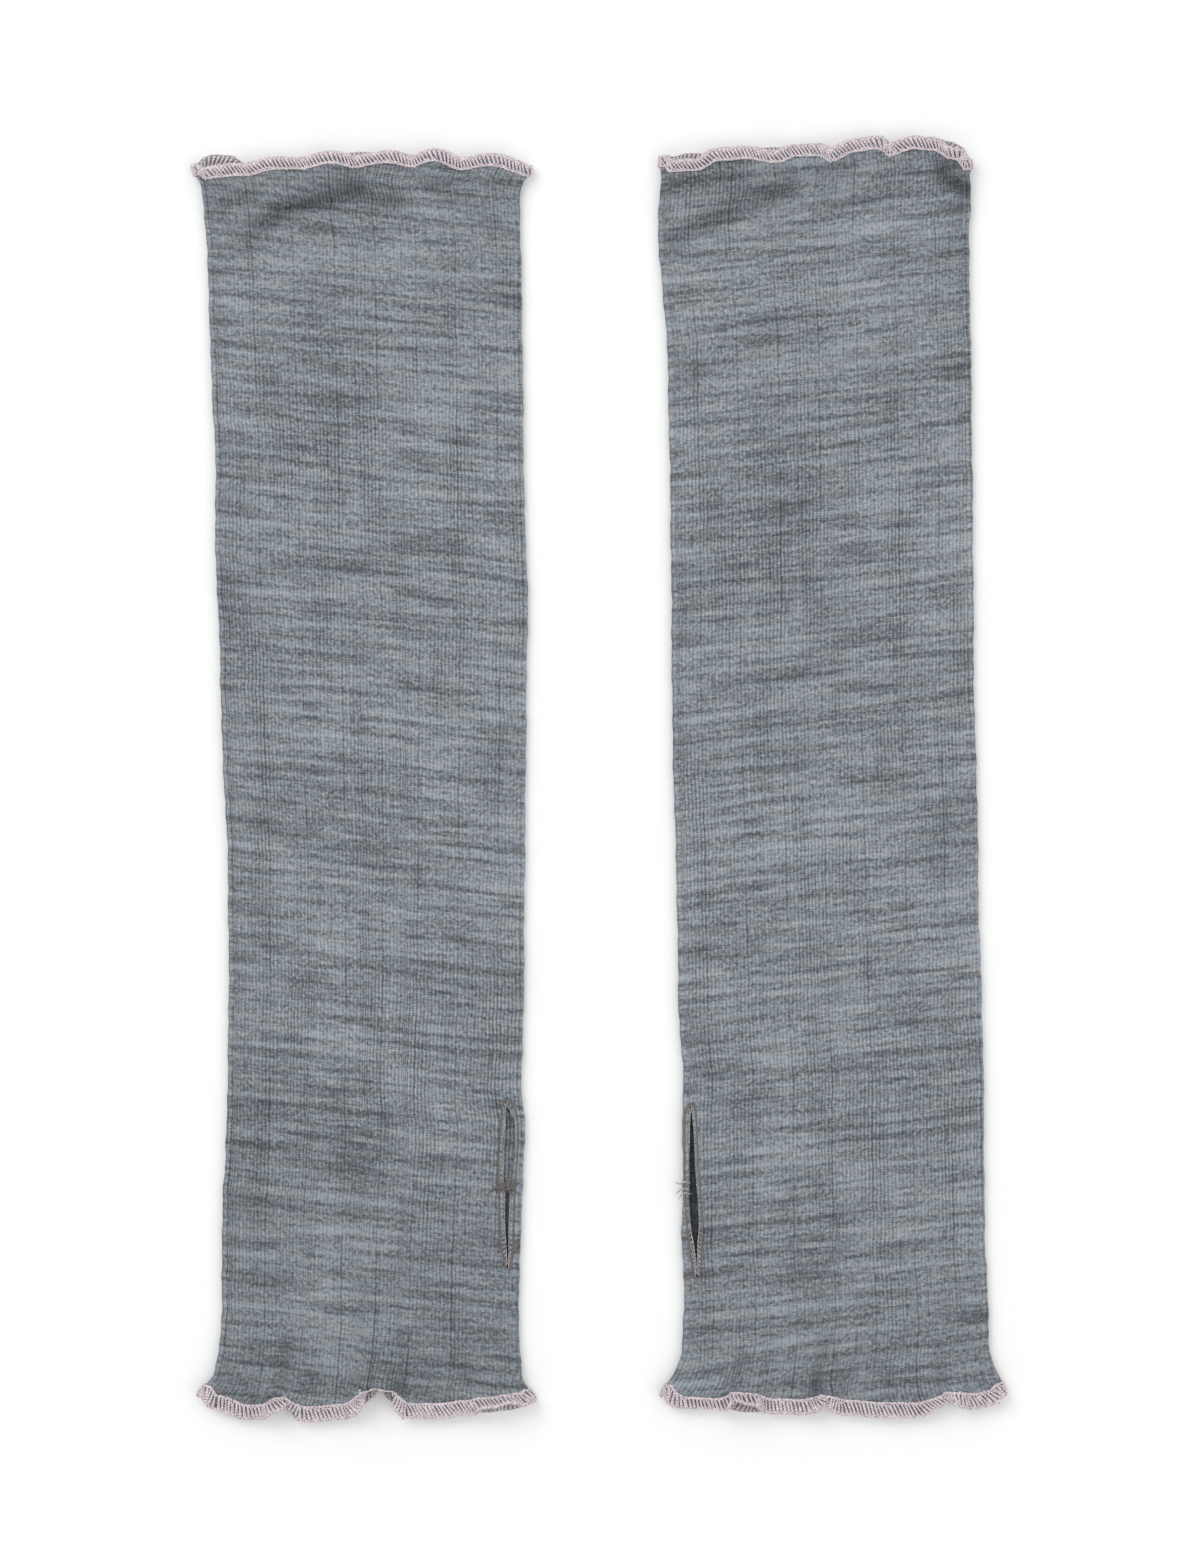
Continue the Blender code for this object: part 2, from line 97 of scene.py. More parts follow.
# How low the inner side of the wall may lie, and how near the two layers may come
LEAST_INSIDE = 0.2 * MM
LAYER_CLEARANCE = 0.15 * MM

# How the cloth lies: a ridge beside each crease, and the waves of the side folds, each a length and a phase,
# and how unlike one fold is to the other
RIDGE_SHARE, RIDGE_AWAY, RIDGE_WIDTH = 0.7, 1.9, 1.1
FOLD_WAVES = ((2.3 * MM, 1.0), (1.1 * MM, 2.7), (5.9 * MM, 1.9))
FOLDS_APART = 40

# Where the slit's cells lie when no station shapes them, and how its edging is laid
PLAIN_NEAR, PLAIN_FAR, SLIT_EASE = 4.2, 6.2, 15.0
KNIT_UNDER_THREAD = 0.3
SLIT_GUIDE_STEPS = 60
SLIT_LEAST_BAND = 0.3 * MM
SLIT_RIM_WEIGHT = 1.1

# How a band curls, tapers at the side folds, and narrows and flattens where it turns far under
CURL_START_UP, CURL_START_UNDER, CURL_EASE = 0.35, 0.95, 0.3
FOLD_BAND_TAPER = 0.15
FOLD_BAND_REACH = 2.0 * MM
TUCKING_CURL, TUCKED_SHARE = (-1.0, -1.9), 0.4
NARROWING_CURL, NARROWED_BY = (15.0, 100.0), 0.55

# A loose end of thread: sides and steps of its mesh, how sharp its ends are, and its plies' run a step
TAIL_SIDES, TAIL_STEPS, TAIL_POINT, TAIL_RUN = 6, 14, 0.06, 0.5 * MM

# A cross section of the tube: its place along Y and its two side folds
Section = namedtuple("Section", "along left right")
# A crest or hollow of a frilled end: its share of the width from the left fold, how far the knit reaches past
# the straight line, how high it is lifted, and how far its band turns up
Wave = namedtuple("Wave", "across reach lift curl")
# A station of the thumb slit: its place along Y, then the distances in from the fold beside it of the knit's
# two cut edges and of the two free edges of the edging
Station = namedtuple("Station", "along near far gap_near gap_far")
# A soft trough in the cloth, or with no depth only a patch of painted shade: the points it runs through, its
# half width, its depth, and how much painted shade it lays on the cloth's colour
Crease = namedtuple("Crease", "points width depth shade")
# A loose end of sewing thread: the points it runs through, its radius, and how light it is
Tail = namedtuple("Tail", "points radius light")
# One warmer: its tables, the side fold that the slit lies beside, and how many courses a round climbs
Warmer = namedtuple(
    "Warmer",
    "name sections slit_fold slit arm_upper arm_under hand_upper hand_under "
    "creases under_creases tails helix",
)


def table(kind, rows):
    """Rows of a table with their fields named."""
    return tuple(kind(*row) for row in rows)


LEFT = Warmer(
    name="left",
    sections=table(Section, [
        (190, -127.8, -21.8), (187.5, -125.9, -23.7), (184, -125.2, -24.8), (175, -124.3, -25),
        (157, -123.3, -24.6), (119, -122, -24.1), (101, -120.9, -23.9), (86, -121.1, -23.7),
        (56, -120.4, -22.6), (40, -119.5, -22.9), (20, -119.2, -23.1), (-32, -117, -23.6),
        (-70, -116.8, -23.9), (-84, -117, -24.2), (-98, -117.2, -24.8), (-103, -117.3, -24),
        (-107, -117.4, -23.4), (-120, -117.8, -23.8), (-133, -118.8, -24.5), (-158, -118.9, -25.2),
        (-172, -119.2, -25.5), (-181, -120.2, -24.8), (-188, -121.5, -24.2), (-191, -124, -21.9),
    ]),
    slit_fold="right",
    slit=table(Station, [
        (-101.1, 4.3, 5.5, 4.75, 5.05), (-103.6, 2.9, 6.8, 3.8, 5.7), (-107.4, 2.4, 7.5, 3.2, 6.1),
        (-113.7, 2.1, 7.8, 2.9, 6.3), (-120, 2.1, 7.9, 2.9, 6.2), (-125.4, 2.3, 7.7, 3.2, 6),
        (-131, 2.3, 7.2, 3.9, 5.2), (-138.9, 2.3, 6.7, 3.9, 4.9), (-146.8, 2.4, 6, 3.8, 4.4),
        (-151.5, 2.8, 4.9, 3.6, 4.1), (-154, 3.2, 4.4, 3.65, 3.95),
    ]),
    arm_upper=table(Wave, [
        (0, 1.2, 1.3, 0), (0.04, -0.3, 3, 25), (0.145, 0.6, 1.3, 10), (0.25, 2.5, 2.6, 0),
        (0.32, 2.5, 1.4, 0), (0.41, 4.1, 3.4, 15), (0.48, 2.9, 1.3, 0), (0.585, 4.4, 2.8, 0),
        (0.65, 3.2, 1.3, 0), (0.72, 5, 3.6, 0), (0.80, 2.4, 1.2, 0), (0.89, 3.7, 2.8, 10), (1, 0.9, 1.3, 0),
    ]),
    arm_under=table(Wave, [
        (0, 1.2, 0.4, 0), (0.06, 3.8, 0.3, 0), (0.10, 3.4, 0.3, 0), (0.15, -0.6, 0.5, 0),
        (0.30, 1.8, 0.3, 0), (0.41, 3.2, 1.4, 0), (0.50, 4.5, 0.3, 0), (0.62, 2.6, 0.4, 0),
        (0.72, 4.4, 1.5, 0), (0.80, 1.6, 0.3, 0), (0.89, 3.2, 1, 0), (1, 0.9, 0.4, 0),
    ]),
    hand_upper=table(Wave, [
        (0, 0, 1.3, 0), (0.05, 3, 1.2, 0), (0.14, 5.8, 1.2, 0), (0.185, 5.5, 1.4, 0),
        (0.236, 2.7, 4.2, -50), (0.258, 1.4, 5.2, -85), (0.277, 3.4, 3.8, -50), (0.298, 5.9, 1.6, -5),
        (0.325, 6.3, 1.3, 0), (0.435, 5.4, 1.5, 0), (0.492, -0.4, 6.2, -112), (0.53, -1.6, 7, -115),
        (0.586, -0.6, 6.6, -114), (0.616, 4.9, 2, -8), (0.65, 5.3, 1.4, 0), (0.72, 5.3, 1.3, 0),
        (0.80, 4.3, 1.4, 5), (0.86, 3.4, 2.2, 48), (0.93, 2.5, 2.8, 58), (0.97, 2, 2, 25), (1, 1.3, 1.3, 0),
    ]),
    hand_under=table(Wave, [
        (0, 0, 0.4, 0), (0.06, 2.6, 0.3, 0), (0.15, 5, 0.3, 0), (0.255, -0.4, 1.4, 0), (0.33, 5.2, 0.3, 0),
        (0.43, 4.4, 0.3, 0), (0.49, 0.2, 1.2, 0), (0.52, -4.4, 1.6, 0), (0.56, -4.4, 1.6, 0),
        (0.59, 0.2, 1.2, 0), (0.63, 3.8, 0.3, 0), (0.74, 4.4, 0.3, 0), (0.81, 2.6, 0.3, 0),
        (0.86, 3.8, 0.3, 0), (0.92, 3.2, 0.3, 0), (1, 1.3, 0.4, 0),
    ]),
    # Troughs carry painted shade along them; the rows with no depth are broad patches of painted shade only,
    # along the ends, beside the left fold and towards the hand end
    creases=table(Crease, [
        (((-106.5, 174.6), (-98, 179.2), (-90, 182), (-76, 185)), 3.2, 1.2, 1.7),
        (((-71, 182.6), (-63, 182)), 3.4, 0.7, 1.2), (((-53, 185), (-42, 181), (-31, 175)), 2.6, 0.5, 0.4),
        (((-118.5, 180.5), (-109, 184)), 2.8, 0.6, 0.7),
        (((-99.8, -191.5), (-99, -184), (-97, -177)), 2.6, 0.9, 0.6),
        (((-72, -190), (-70.5, -181)), 2.4, 0.8, 0.6), (((-64.5, -190), (-66, -182)), 2.2, 0.6, 0.4),
        (((-40, -189), (-44, -181)), 2.8, 0.4, 0.3), (((-122, 186), (-84, 188)), 8, 0, 0.55),
        (((-74, 189), (-24, 187)), 7, 0, 0.5),
        (((-114, 90), (-111, 40), (-110, -80), (-112, -190)), 9, 0, 0.28),
        (((-118, -196), (-30, -196)), 26, 0, 0.28), (((-118, -118), (-62, -134), (-50, -160)), 30, 0, 0.36),
        (((-79, -190), (-70, -188), (-62, -191)), 3.2, 0, 0.5),
        (((-115, 62), (-96, 70), (-70, 72)), 9, 0.3, 0.15),
        (((-60, -60), (-44, -68), (-27, -66)), 8, 0.3, 0.15),
    ]),
    # The last three rows paint shade into the hollow seen through the thumb slit
    under_creases=table(Crease, [
        (((-40, 170), (-54, 179), (-66, 184)), 3.4, 0.9, 0.8), (((-90, 183), (-101, 177)), 3, 0.6, 0.5),
        (((-60, -190), (-62, -180)), 2.6, 0.8, 0.6), (((-88, -190), (-86, -181)), 2.6, 0.7, 0.5),
        (((-100, 20), (-76, 12), (-48, 14)), 9, 0.4, 0.2), (((-28.4, -103), (-28.2, -109)), 2.2, 0, 1.7),
        (((-28.4, -112), (-28.6, -124)), 2.6, 0, 0.8), (((-28.8, -131), (-28.9, -151)), 2.6, 0, 2.1),
    ]),
    tails=table(Tail, [
        (((-25.9, -127, 3), (-28.2, -126.6, 3.9), (-30.6, -127.6, 3.7), (-33, -126.8, 3.3)), 0.28, 0),
        (((-26.2, -129.6, 3), (-28, -128.6, 4.1), (-30.2, -129, 3.8), (-32.4, -130.4, 3.2)), 0.28, 0),
        (((-27, -128.6, 3.2), (-29.4, -127.8, 4.3), (-31.6, -128.4, 3.9), (-34.2, -128, 3.2)), 0.25, 0),
        (((-27.6, -125.8, 2.9), (-28.9, -127.4, 4.2), (-28.4, -129.4, 4), (-27.3, -131.2, 3)), 0.25, 0),
        (((-30.6, -129.8, 3.3), (-32.2, -128.4, 3.8), (-33.8, -129.4, 3.4), (-35.2, -130.8, 3.1)), 0.21, 0),
    ]),
    helix=-27,
)

RIGHT = Warmer(
    name="right",
    sections=table(Section, [
        (192, 17.7, 118.2), (188, 19.5, 116.6), (184, 19.3, 117), (175, 18.6, 116.8), (168, 18.3, 116.3),
        (155, 19.5, 116.5), (132, 21.3, 117), (69, 22.5, 117.7), (20, 22.9, 118), (0, 23.3, 118.8),
        (-45, 24.5, 119.5), (-70, 24.8, 120.4), (-98, 26.3, 121), (-107, 26.1, 121.1), (-125, 26.2, 121.2),
        (-145, 25.9, 121.4), (-158, 26.6, 122.1), (-181, 25.8, 122.8), (-186, 24.3, 124.4),
        (-191, 21.1, 126.9),
    ]),
    slit_fold="left",
    slit=table(Station, [
        (-102.1, 2.3, 3.5, 2.75, 3.05), (-104.9, 0.9, 4, 2.6, 3.1), (-109, 0.6, 4.5, 2.5, 3.5),
        (-115.3, 0.6, 4.7, 2.3, 3.7), (-121.6, 0.6, 4.9, 2.1, 3.9), (-127.9, 0.7, 5.4, 2, 4.3),
        (-134.2, 1, 6, 2.3, 4.9), (-142.1, 1.8, 6.5, 3, 5.3), (-148.4, 2.5, 6.2, 3.9, 4.7),
        (-153.4, 3, 5.6, 4.1, 4.3), (-156.9, 3.4, 4.7, 3.9, 4.2),
    ]),
    arm_upper=table(Wave, [
        (0, 3.6, 1.3, 0), (0.04, 1.9, 2.2, 25), (0.115, 2.2, 2.4, 25), (0.19, 5.4, 1.8, 0),
        (0.28, 6, 1.3, 0), (0.37, 4.4, 3.4, 25), (0.44, 6.6, 1.3, 0), (0.52, 6.8, 1.3, 0),
        (0.545, 5, 2.8, 0), (0.63, 8.3, 1.3, 0), (0.70, 9.1, 2.4, 0), (0.735, 7, 1.2, 0), (0.82, 9.1, 2, 0),
        (0.88, 8.4, 1.3, 0), (0.94, 5.8, 3.6, 20), (1, 2.6, 2.6, 0),
    ]),
    arm_under=table(Wave, [
        (0, 3.6, 0.4, 0), (0.04, 3, 0.3, 0), (0.10, 4.1, 0.3, 0), (0.16, 3.8, 0.3, 0), (0.25, 5, 0.3, 0),
        (0.37, 6, 0.4, 0), (0.46, 5.8, 0.3, 0), (0.545, 4.2, 1, 0), (0.66, 7.6, 0.3, 0),
        (0.73, 6.4, 0.3, 0), (0.80, 8.2, 0.3, 0), (0.87, 9.3, 0.3, 0), (0.93, 7.8, 0.4, 0),
        (0.97, 6, 0.3, 0), (1, 2.6, 0.3, 0),
    ]),
    hand_upper=table(Wave, [
        (0, -0.2, 1.3, 0), (0.06, 2.6, 2.4, -30), (0.17, 2.9, 2.4, -30), (0.21, 1.9, 3.6, 40),
        (0.26, 1.9, 3.6, 40), (0.31, 3.8, 1.3, 0), (0.41, 4, 1.2, 0), (0.445, 3.8, 1.6, 0),
        (0.467, 1, 5, -75), (0.488, 1.8, 3.8, -45), (0.53, 4.2, 1.2, 0), (0.65, 5, 1.2, 0),
        (0.74, 5, 1.2, 0), (0.80, 2.4, 3, -40), (0.838, 0.4, 4.4, -50), (0.91, 2.3, 1.4, 0),
        (0.96, 1.2, 1.3, 0), (1, -1, 1.3, 0),
    ]),
    hand_under=table(Wave, [
        (0, -0.2, 0.4, 0), (0.07, 1.4, 0.3, 0), (0.17, 1.9, 0.3, 0), (0.24, 3.7, 0.3, 0),
        (0.31, 3.2, 0.3, 0), (0.41, 3.2, 0.3, 0), (0.472, -2.2, 1.4, 0), (0.56, 3, 0.3, 0),
        (0.72, 4, 0.3, 0), (0.838, -2.6, 1.2, 0), (0.91, 1.2, 0.3, 0), (1, -1, 0.4, 0),
    ]),
    # Troughs carry painted shade along them; the rows with no depth are broad patches of painted shade only,
    # along the ends and towards the hand end
    creases=table(Crease, [
        (((22, 169.5), (35, 176), (48, 181.5), (60, 185.5)), 3.2, 1.1, 1.25),
        (((108.8, 190), (115, 185)), 3, 1, 1.7), (((113.6, 176), (112, 168)), 3.4, 0.5, 0.4),
        (((71, 190), (74, 180)), 2.6, 0.5, 0.3), (((43, -190), (45.5, -182)), 2.6, 0.8, 0.6),
        (((68.5, -192), (69.5, -184), (71, -177)), 2.6, 0.9, 0.6),
        (((108, -191), (107, -182)), 2.6, 0.8, 0.6), (((92, -190), (88, -182)), 2.8, 0.4, 0.3),
        (((18, 185), (42, 188)), 7, 0, 0.45), (((50, 190), (114, 191)), 7, 0, 0.4),
        (((30, -196), (120, -196)), 34, 0, 0.3), (((34, -120), (116, -130)), 34, 0, 0.16),
        (((64, -190), (73, -190)), 3, 0, 0.4), (((28, 52), (52, 60), (84, 58)), 9, 0.3, 0.15),
        (((60, -70), (84, -64), (110, -72)), 8, 0.3, 0.15),
    ]),
    # The last row paints shade into the hollow seen through the thumb slit
    under_creases=table(Crease, [
        (((108, 168), (94, 178), (80, 186)), 3.4, 0.9, 0.8), (((44, 184), (36, 176)), 3, 0.6, 0.5),
        (((84, -190), (83, -181)), 2.6, 0.7, 0.5), (((54, -190), (57, -180)), 2.6, 0.7, 0.5),
        (((36, -12), (62, -4), (94, -8)), 9, 0.4, 0.2),
        (((29.2, -105), (29.2, -128), (30.6, -154)), 3.4, 0, 3.4),
    ]),
    tails=table(Tail, [
        (((28.6, -127.2, 3), (27, -126.6, 3.5), (25.4, -127.4, 2.8), (23.9, -127, 2.2)), 0.29, 1),
        (((28.4, -129.4, 3), (26.8, -128.8, 3.6), (25.2, -129.6, 2.7), (24.1, -130.6, 2)), 0.29, 1),
        (((28.9, -130.6, 3.1), (27.2, -130.2, 3.4), (25.8, -130.9, 2.8), (24.9, -132.4, 2.2)), 0.23, 1),
    ]),
    helix=29,
)


def even_slopes(values, places):
    """Slopes for a smooth curve through a table that never swings past the table's own values."""
    steps = np.diff(values) / np.diff(places)
    before, after = steps[:-1], steps[1:]
    total = np.where(before * after > 0, before + after, 1.0)
    inner = np.where(before * after > 0, 2 * before * after / total, 0.0)
    return np.concatenate([steps[:1], inner, steps[-1:]])


def hermite(places, values, at):
    """Values at some places on a smooth curve through a table, held level past its two ends."""
    places, values = np.asarray(places, float), np.asarray(values, float)
    slopes = even_slopes(values, places)
    x = np.clip(at, places[0], places[-1])
    k = np.clip(np.searchsorted(places, x) - 1, 0, len(places) - 2)
    span = places[k + 1] - places[k]
    t = (x - places[k]) / span
    return (
        (2 * t**3 - 3 * t**2 + 1) * values[k]
        + (t**3 - 2 * t**2 + t) * span * slopes[k]
        + (3 * t**2 - 2 * t**3) * values[k + 1]
        + (t**3 - t**2) * span * slopes[k + 1]
    )


def unit(vectors):
    """Vectors made one long."""
    return vectors / np.linalg.norm(vectors, axis=-1, keepdims=True)


def side_fold(warmer, along, side):
    """X of a side fold at a place along Y."""
    rows = sorted(warmer.sections)
    return hermite([r.along * MM for r in rows], [getattr(r, side) * MM for r in rows], along)


def frill(waves, across, field):
    """A wave table's value at some shares of the width, eased between each crest and hollow."""
    shares = np.array([wave.across for wave in waves])
    values = np.array([getattr(wave, field) for wave in waves])
    share = np.clip(across, 0.0, 1.0)
    k = np.clip(np.searchsorted(shares, share, side="right") - 1, 0, len(shares) - 2)
    t = (share - shares[k]) / (shares[k + 1] - shares[k])
    return values[k] + (values[k + 1] - values[k]) * (0.5 - 0.5 * np.cos(math.pi * t))


def distance_to_path(x, y, path):
    """Distance of some points from a path of straight runs, all in millimetres."""
    nearest = np.full(np.shape(x), np.inf)
    for (ax, ay), (bx, by) in zip(path, path[1:]):
        run = (bx - ax) ** 2 + (by - ay) ** 2
        t = np.clip(((x - ax) * (bx - ax) + (y - ay) * (by - ay)) / run, 0.0, 1.0)
        nearest = np.minimum(nearest, np.hypot(x - ax - t * (bx - ax), y - ay - t * (by - ay)))
    return nearest


def crease_relief(creases, x, y):
    """Height that creases add to the cloth, with a soft ridge beside each trough, and the painted shade they
    lay on its colour.
    """
    height, shade = np.zeros(np.shape(x)), np.zeros(np.shape(x))
    for crease in creases:
        away = distance_to_path(x / MM, y / MM, crease.points) / crease.width
        trough = np.exp(-(away**2))
        ridge = np.exp(-(((away - RIDGE_AWAY) / RIDGE_WIDTH) ** 2))
        height += crease.depth * MM * (RIDGE_SHARE * ridge - trough)
        shade += crease.shade * trough
    return height, shade


def slack(x, y):
    """Slow rise and fall of cloth that lies loose, from -1 to 1: waves of unlike lengths in millimetres."""
    x, y = x / MM, y / MM
    long_wave = np.sin(x / 17 + 0.8 * np.sin(y / 41)) * np.sin(y / 29 + 1.1)
    short_wave = np.sin(x / 9 - y / 23 + 0.6 * np.sin(y / 15))
    return (long_wave + short_wave) / 2


def wander(along, seed):
    """Small wandering of a side fold, from -1 to 1."""
    return sum(math.sin(along / length + phase * seed) for length, phase in FOLD_WAVES) / len(FOLD_WAVES)


def layer_height(warmer, layer, across, from_hand, from_arm, settings):
    """Height of the middle of a layer's wall above the ground, before its creases."""
    height = UNDER_HEIGHT if layer == "under" else UPPER_HEIGHT
    for end, distance in (("hand", from_hand), ("arm", from_arm)):
        fade = max(0.0, 1 - distance / FRILL_REACH) ** 2
        height = height + frill(getattr(warmer, f"{end}_{layer}"), across, "lift") * MM * fade
    if layer == "upper":
        inset = np.minimum(across, 1 - across) * FLAT_WIDTH
        height = height + settings.fold_puff * np.exp(-inset / settings.puff_reach)
    return height


def slit_insets(warmer, along):
    """Distances in from the fold of the slit's two cut edges, at a place along Y."""
    stations = sorted(warmer.slit)
    places = [stations[0].along - SLIT_EASE, *(s.along for s in stations), stations[-1].along + SLIT_EASE]
    near = [PLAIN_NEAR, *(s.gap_near - KNIT_UNDER_THREAD for s in stations), PLAIN_NEAR]
    far = [PLAIN_FAR, *(s.gap_far + KNIT_UNDER_THREAD for s in stations), PLAIN_FAR]
    return tuple(hermite(places, edge, along / MM) * MM for edge in (near, far))


def flat_columns(warmer, nominal, left, right, round_left, round_right):
    """X of a layer's columns between its two fold arcs, closer together beside the thumb slit."""
    near, far = slit_insets(warmer, nominal)
    start = round_left if warmer.slit_fold == "left" else round_right
    other = round_right if warmer.slit_fold == "left" else round_left
    insets = np.concatenate([
        np.linspace(start, near, NEAR_SLIT_STEPS + 1)[1:],
        np.linspace(far, SLIT_ZONE, BESIDE_SLIT_STEPS + 1),
        np.linspace(SLIT_ZONE, right - left - other, MIDDLE_STEPS + 1)[1:-1],
    ])
    return left + insets if warmer.slit_fold == "left" else (right - insets)[::-1]


def cut_ends(warmer, layer, across):
    """Y of the knit's two cut ends, at some shares of the width."""
    hand = HAND_LINE - frill(getattr(warmer, f"hand_{layer}"), across, "reach") * MM
    arm = ARM_LINE + frill(getattr(warmer, f"arm_{layer}"), across, "reach") * MM
    return hand, arm


def layer_row(warmer, layer, share, settings):
    """Middle of a layer's wall along one row, from the left fold to the right one."""
    nominal = HAND_LINE + share * LENGTH
    left, right = (float(side_fold(warmer, nominal, side)) for side in ("left", "right"))
    left += settings.wander * wander(nominal, warmer.helix)
    right += settings.wander * wander(nominal, warmer.helix + FOLDS_APART)
    ends = share * LENGTH, (1 - share) * LENGTH
    angles = np.linspace(0, math.pi / 2, FOLD_STEPS + 1)
    upward = 1 if layer == "upper" else -1
    arcs = {}
    for edge, inward, across in ((left, 1, 0.0), (right, -1, 1.0)):
        top, bottom = (
            float(layer_height(warmer, name, across, *ends, settings)) for name in ("upper", "under")
        )
        radius = (top - bottom) / 2
        arc_x = edge + inward * (WALL / 2 + radius * (1 - np.cos(angles)))
        arc_z = (top + bottom) / 2 + upward * radius * np.sin(angles)
        arcs[across] = arc_x, arc_z, WALL / 2 + radius
    flat_x = flat_columns(warmer, nominal, left, right, arcs[0.0][2], arcs[1.0][2])
    flat_z = layer_height(warmer, layer, (flat_x - left) / (right - left), *ends, settings)
    x = np.concatenate([arcs[0.0][0], flat_x, arcs[1.0][0][::-1]])
    z = np.concatenate([arcs[0.0][1], flat_z, arcs[1.0][1][::-1]])
    across = (x - left) / (right - left)
    across[: FOLD_STEPS + 1], across[-FOLD_STEPS - 1:] = 0.0, 1.0
    hand, arm = cut_ends(warmer, layer, across)
    return np.stack([x, hand + share * (arm - hand), z], axis=1)


def slit_end_shares(warmer):
    """Rows, as shares of the tube's length, on which the thumb slit begins and ends."""
    shares = []
    for station in (min(warmer.slit), max(warmer.slit)):
        y = station.along * MM
        left, right = (side_fold(warmer, y, side) for side in ("left", "right"))
        inset = 0.5 * (station.near + station.far) * MM / (right - left)
        across = inset if warmer.slit_fold == "left" else 1 - inset
        hand, arm = cut_ends(warmer, "upper", across)
        shares.append(float((y - hand) / (arm - hand)))
    return shares


def row_shares(warmer):
    """Places of the tube's rows, as shares of its length, with a row on each end of the thumb slit."""
    ends = slit_end_shares(warmer)
    least = LEAST_ROW_SHARE * ROW_STEP / LENGTH
    even = np.linspace(0, 1, round(LENGTH / ROW_STEP) + 1)
    return sorted([s for s in even if min(abs(s - e) for e in ends) > least] + ends)


def add_relief(warmer, under, upper, settings):
    """Lays creases and slack into the two layers, which stay apart and above the ground. Returns the painted
    shade of each."""
    shades = []
    for layer, creases in ((under, warmer.under_creases), (upper, warmer.creases)):
        x, y = layer[..., 0], layer[..., 1]
        relief, shade = crease_relief(creases, x, y)
        count = layer.shape[1]
        column = np.minimum(np.arange(count), np.arange(count)[::-1])
        hold = np.clip((column - FOLD_STEPS) / BESIDE_SLIT_STEPS, 0, 1)
        layer[..., 2] += hold * (settings.crease_strength * relief + settings.slack * (1 + slack(x, y)))
        shades.append(shade)
    under[..., 2] = np.maximum(under[..., 2], WALL / 2)
    lowest = under[..., 2] + WALL + LAYER_CLEARANCE
    inside = slice(FOLD_STEPS + 1, -FOLD_STEPS - 1)
    upper[:, inside, 2] = np.maximum(upper[:, inside, 2], lowest[:, inside])
    return shades


def tube_grid(warmer, settings):
    """Middle of the tube's wall as a grid: rows along Y, columns once round from the left fold, the under
    layer first. Returns the grid, its painted shade, and the slit's column and rows."""
    shares = row_shares(warmer)
    under, upper = (
        np.array([layer_row(warmer, layer, share, settings) for share in shares])
        for layer in ("under", "upper")
    )
    under_shade, upper_shade = add_relief(warmer, under, upper, settings)
    grid = np.concatenate([under, upper[:, -2:0:-1]], axis=1)
    shade = np.concatenate([under_shade, upper_shade[:, -2:0:-1]], axis=1)
    count = upper.shape[1]
    from_fold = FOLD_STEPS + NEAR_SLIT_STEPS
    near = from_fold if warmer.slit_fold == "left" else count - 1 - from_fold
    far = near + 1 if warmer.slit_fold == "left" else near - 1
    slit_column = count + (count - 2 - max(near, far))
    slit_rows = [shares.index(s) for s in slit_end_shares(warmer)]
    return grid, shade, slit_column, slit_rows


def around_and_along(grid):
    """Unit directions of a grid that closes on itself: round the tube, and along it."""
    around = unit(np.roll(grid, -1, axis=1) - np.roll(grid, 1, axis=1))
    return around, unit(np.gradient(grid, axis=0))


def mouth(warmer, end, grid):
    """Edge of the knit at one end, once round, with the directions its band takes: out along the cloth and up
    from it, how far it curls, and how wide it is."""
    row, inner_row = (0, 2) if end == "hand" else (-1, -3)
    around, along = around_and_along(grid)
    edge, up = grid[row], unit(np.cross(along[row], around[row]))
    straight = unit(grid[row] - grid[inner_row])
    square = unit(np.cross(around[row], up))
    square *= np.sign((square * straight).sum(axis=1, keepdims=True))
    out = unit(BAND_FAN * square + (1 - BAND_FAN) * straight)
    count = len(edge) // 2
    across = (edge[:, 0] - edge[0, 0]) / (edge[count, 0] - edge[0, 0])
    curl = np.concatenate([
        frill(getattr(warmer, f"{end}_under"), across[: count + 1], "curl"),
        frill(getattr(warmer, f"{end}_upper"), across[count + 1:], "curl"),
    ])
    inset = np.minimum(edge[:, 0] - edge[0, 0], edge[count, 0] - edge[:, 0])
    rounded = 1 - FOLD_BAND_TAPER * np.exp(-((inset / FOLD_BAND_REACH) ** 2))
    low, high = NARROWING_CURL
    turned = np.clip((-curl - low) / (high - low), 0, 1)
    full = HAND_BAND_WIDTH if end == "hand" else ARM_BAND_WIDTH
    return edge, out, up, np.radians(curl), full * rounded * (1 - NARROWED_BY * turned)


def curl_start(curl):
    """Share of its curl that a band has at its seam: most where it turns under, less where it turns up."""
    t = np.clip((curl + CURL_EASE) / CURL_EASE, 0, 1)
    return CURL_START_UNDER + (CURL_START_UP - CURL_START_UNDER) * t * t * (3 - 2 * t)


def seam_line(edge, out, curl):
    """Where a band starts: past the cut edge, with more room where it turns away from the cloth."""
    turn = curl * curl_start(curl)
    room = SEAM_GAP + np.abs(np.sin(turn)) * WALL / 2 + np.maximum(0.0, -np.cos(turn)) * WALL
    return edge + room[:, None] * out


def band_rows(edge, out, up, curl, width):
    """Rows that carry the knit on through its band, curling as the band does."""
    rows, seam, start = [], seam_line(edge, out, curl), curl_start(curl)
    for share in CORE_SHARES:
        turn = (curl * (start + (1 - start) * share))[:, None]
        reach = np.cos(turn) * out + np.sin(turn) * up
        rows.append(seam + (share * width)[:, None] * reach)
    return np.array(rows)


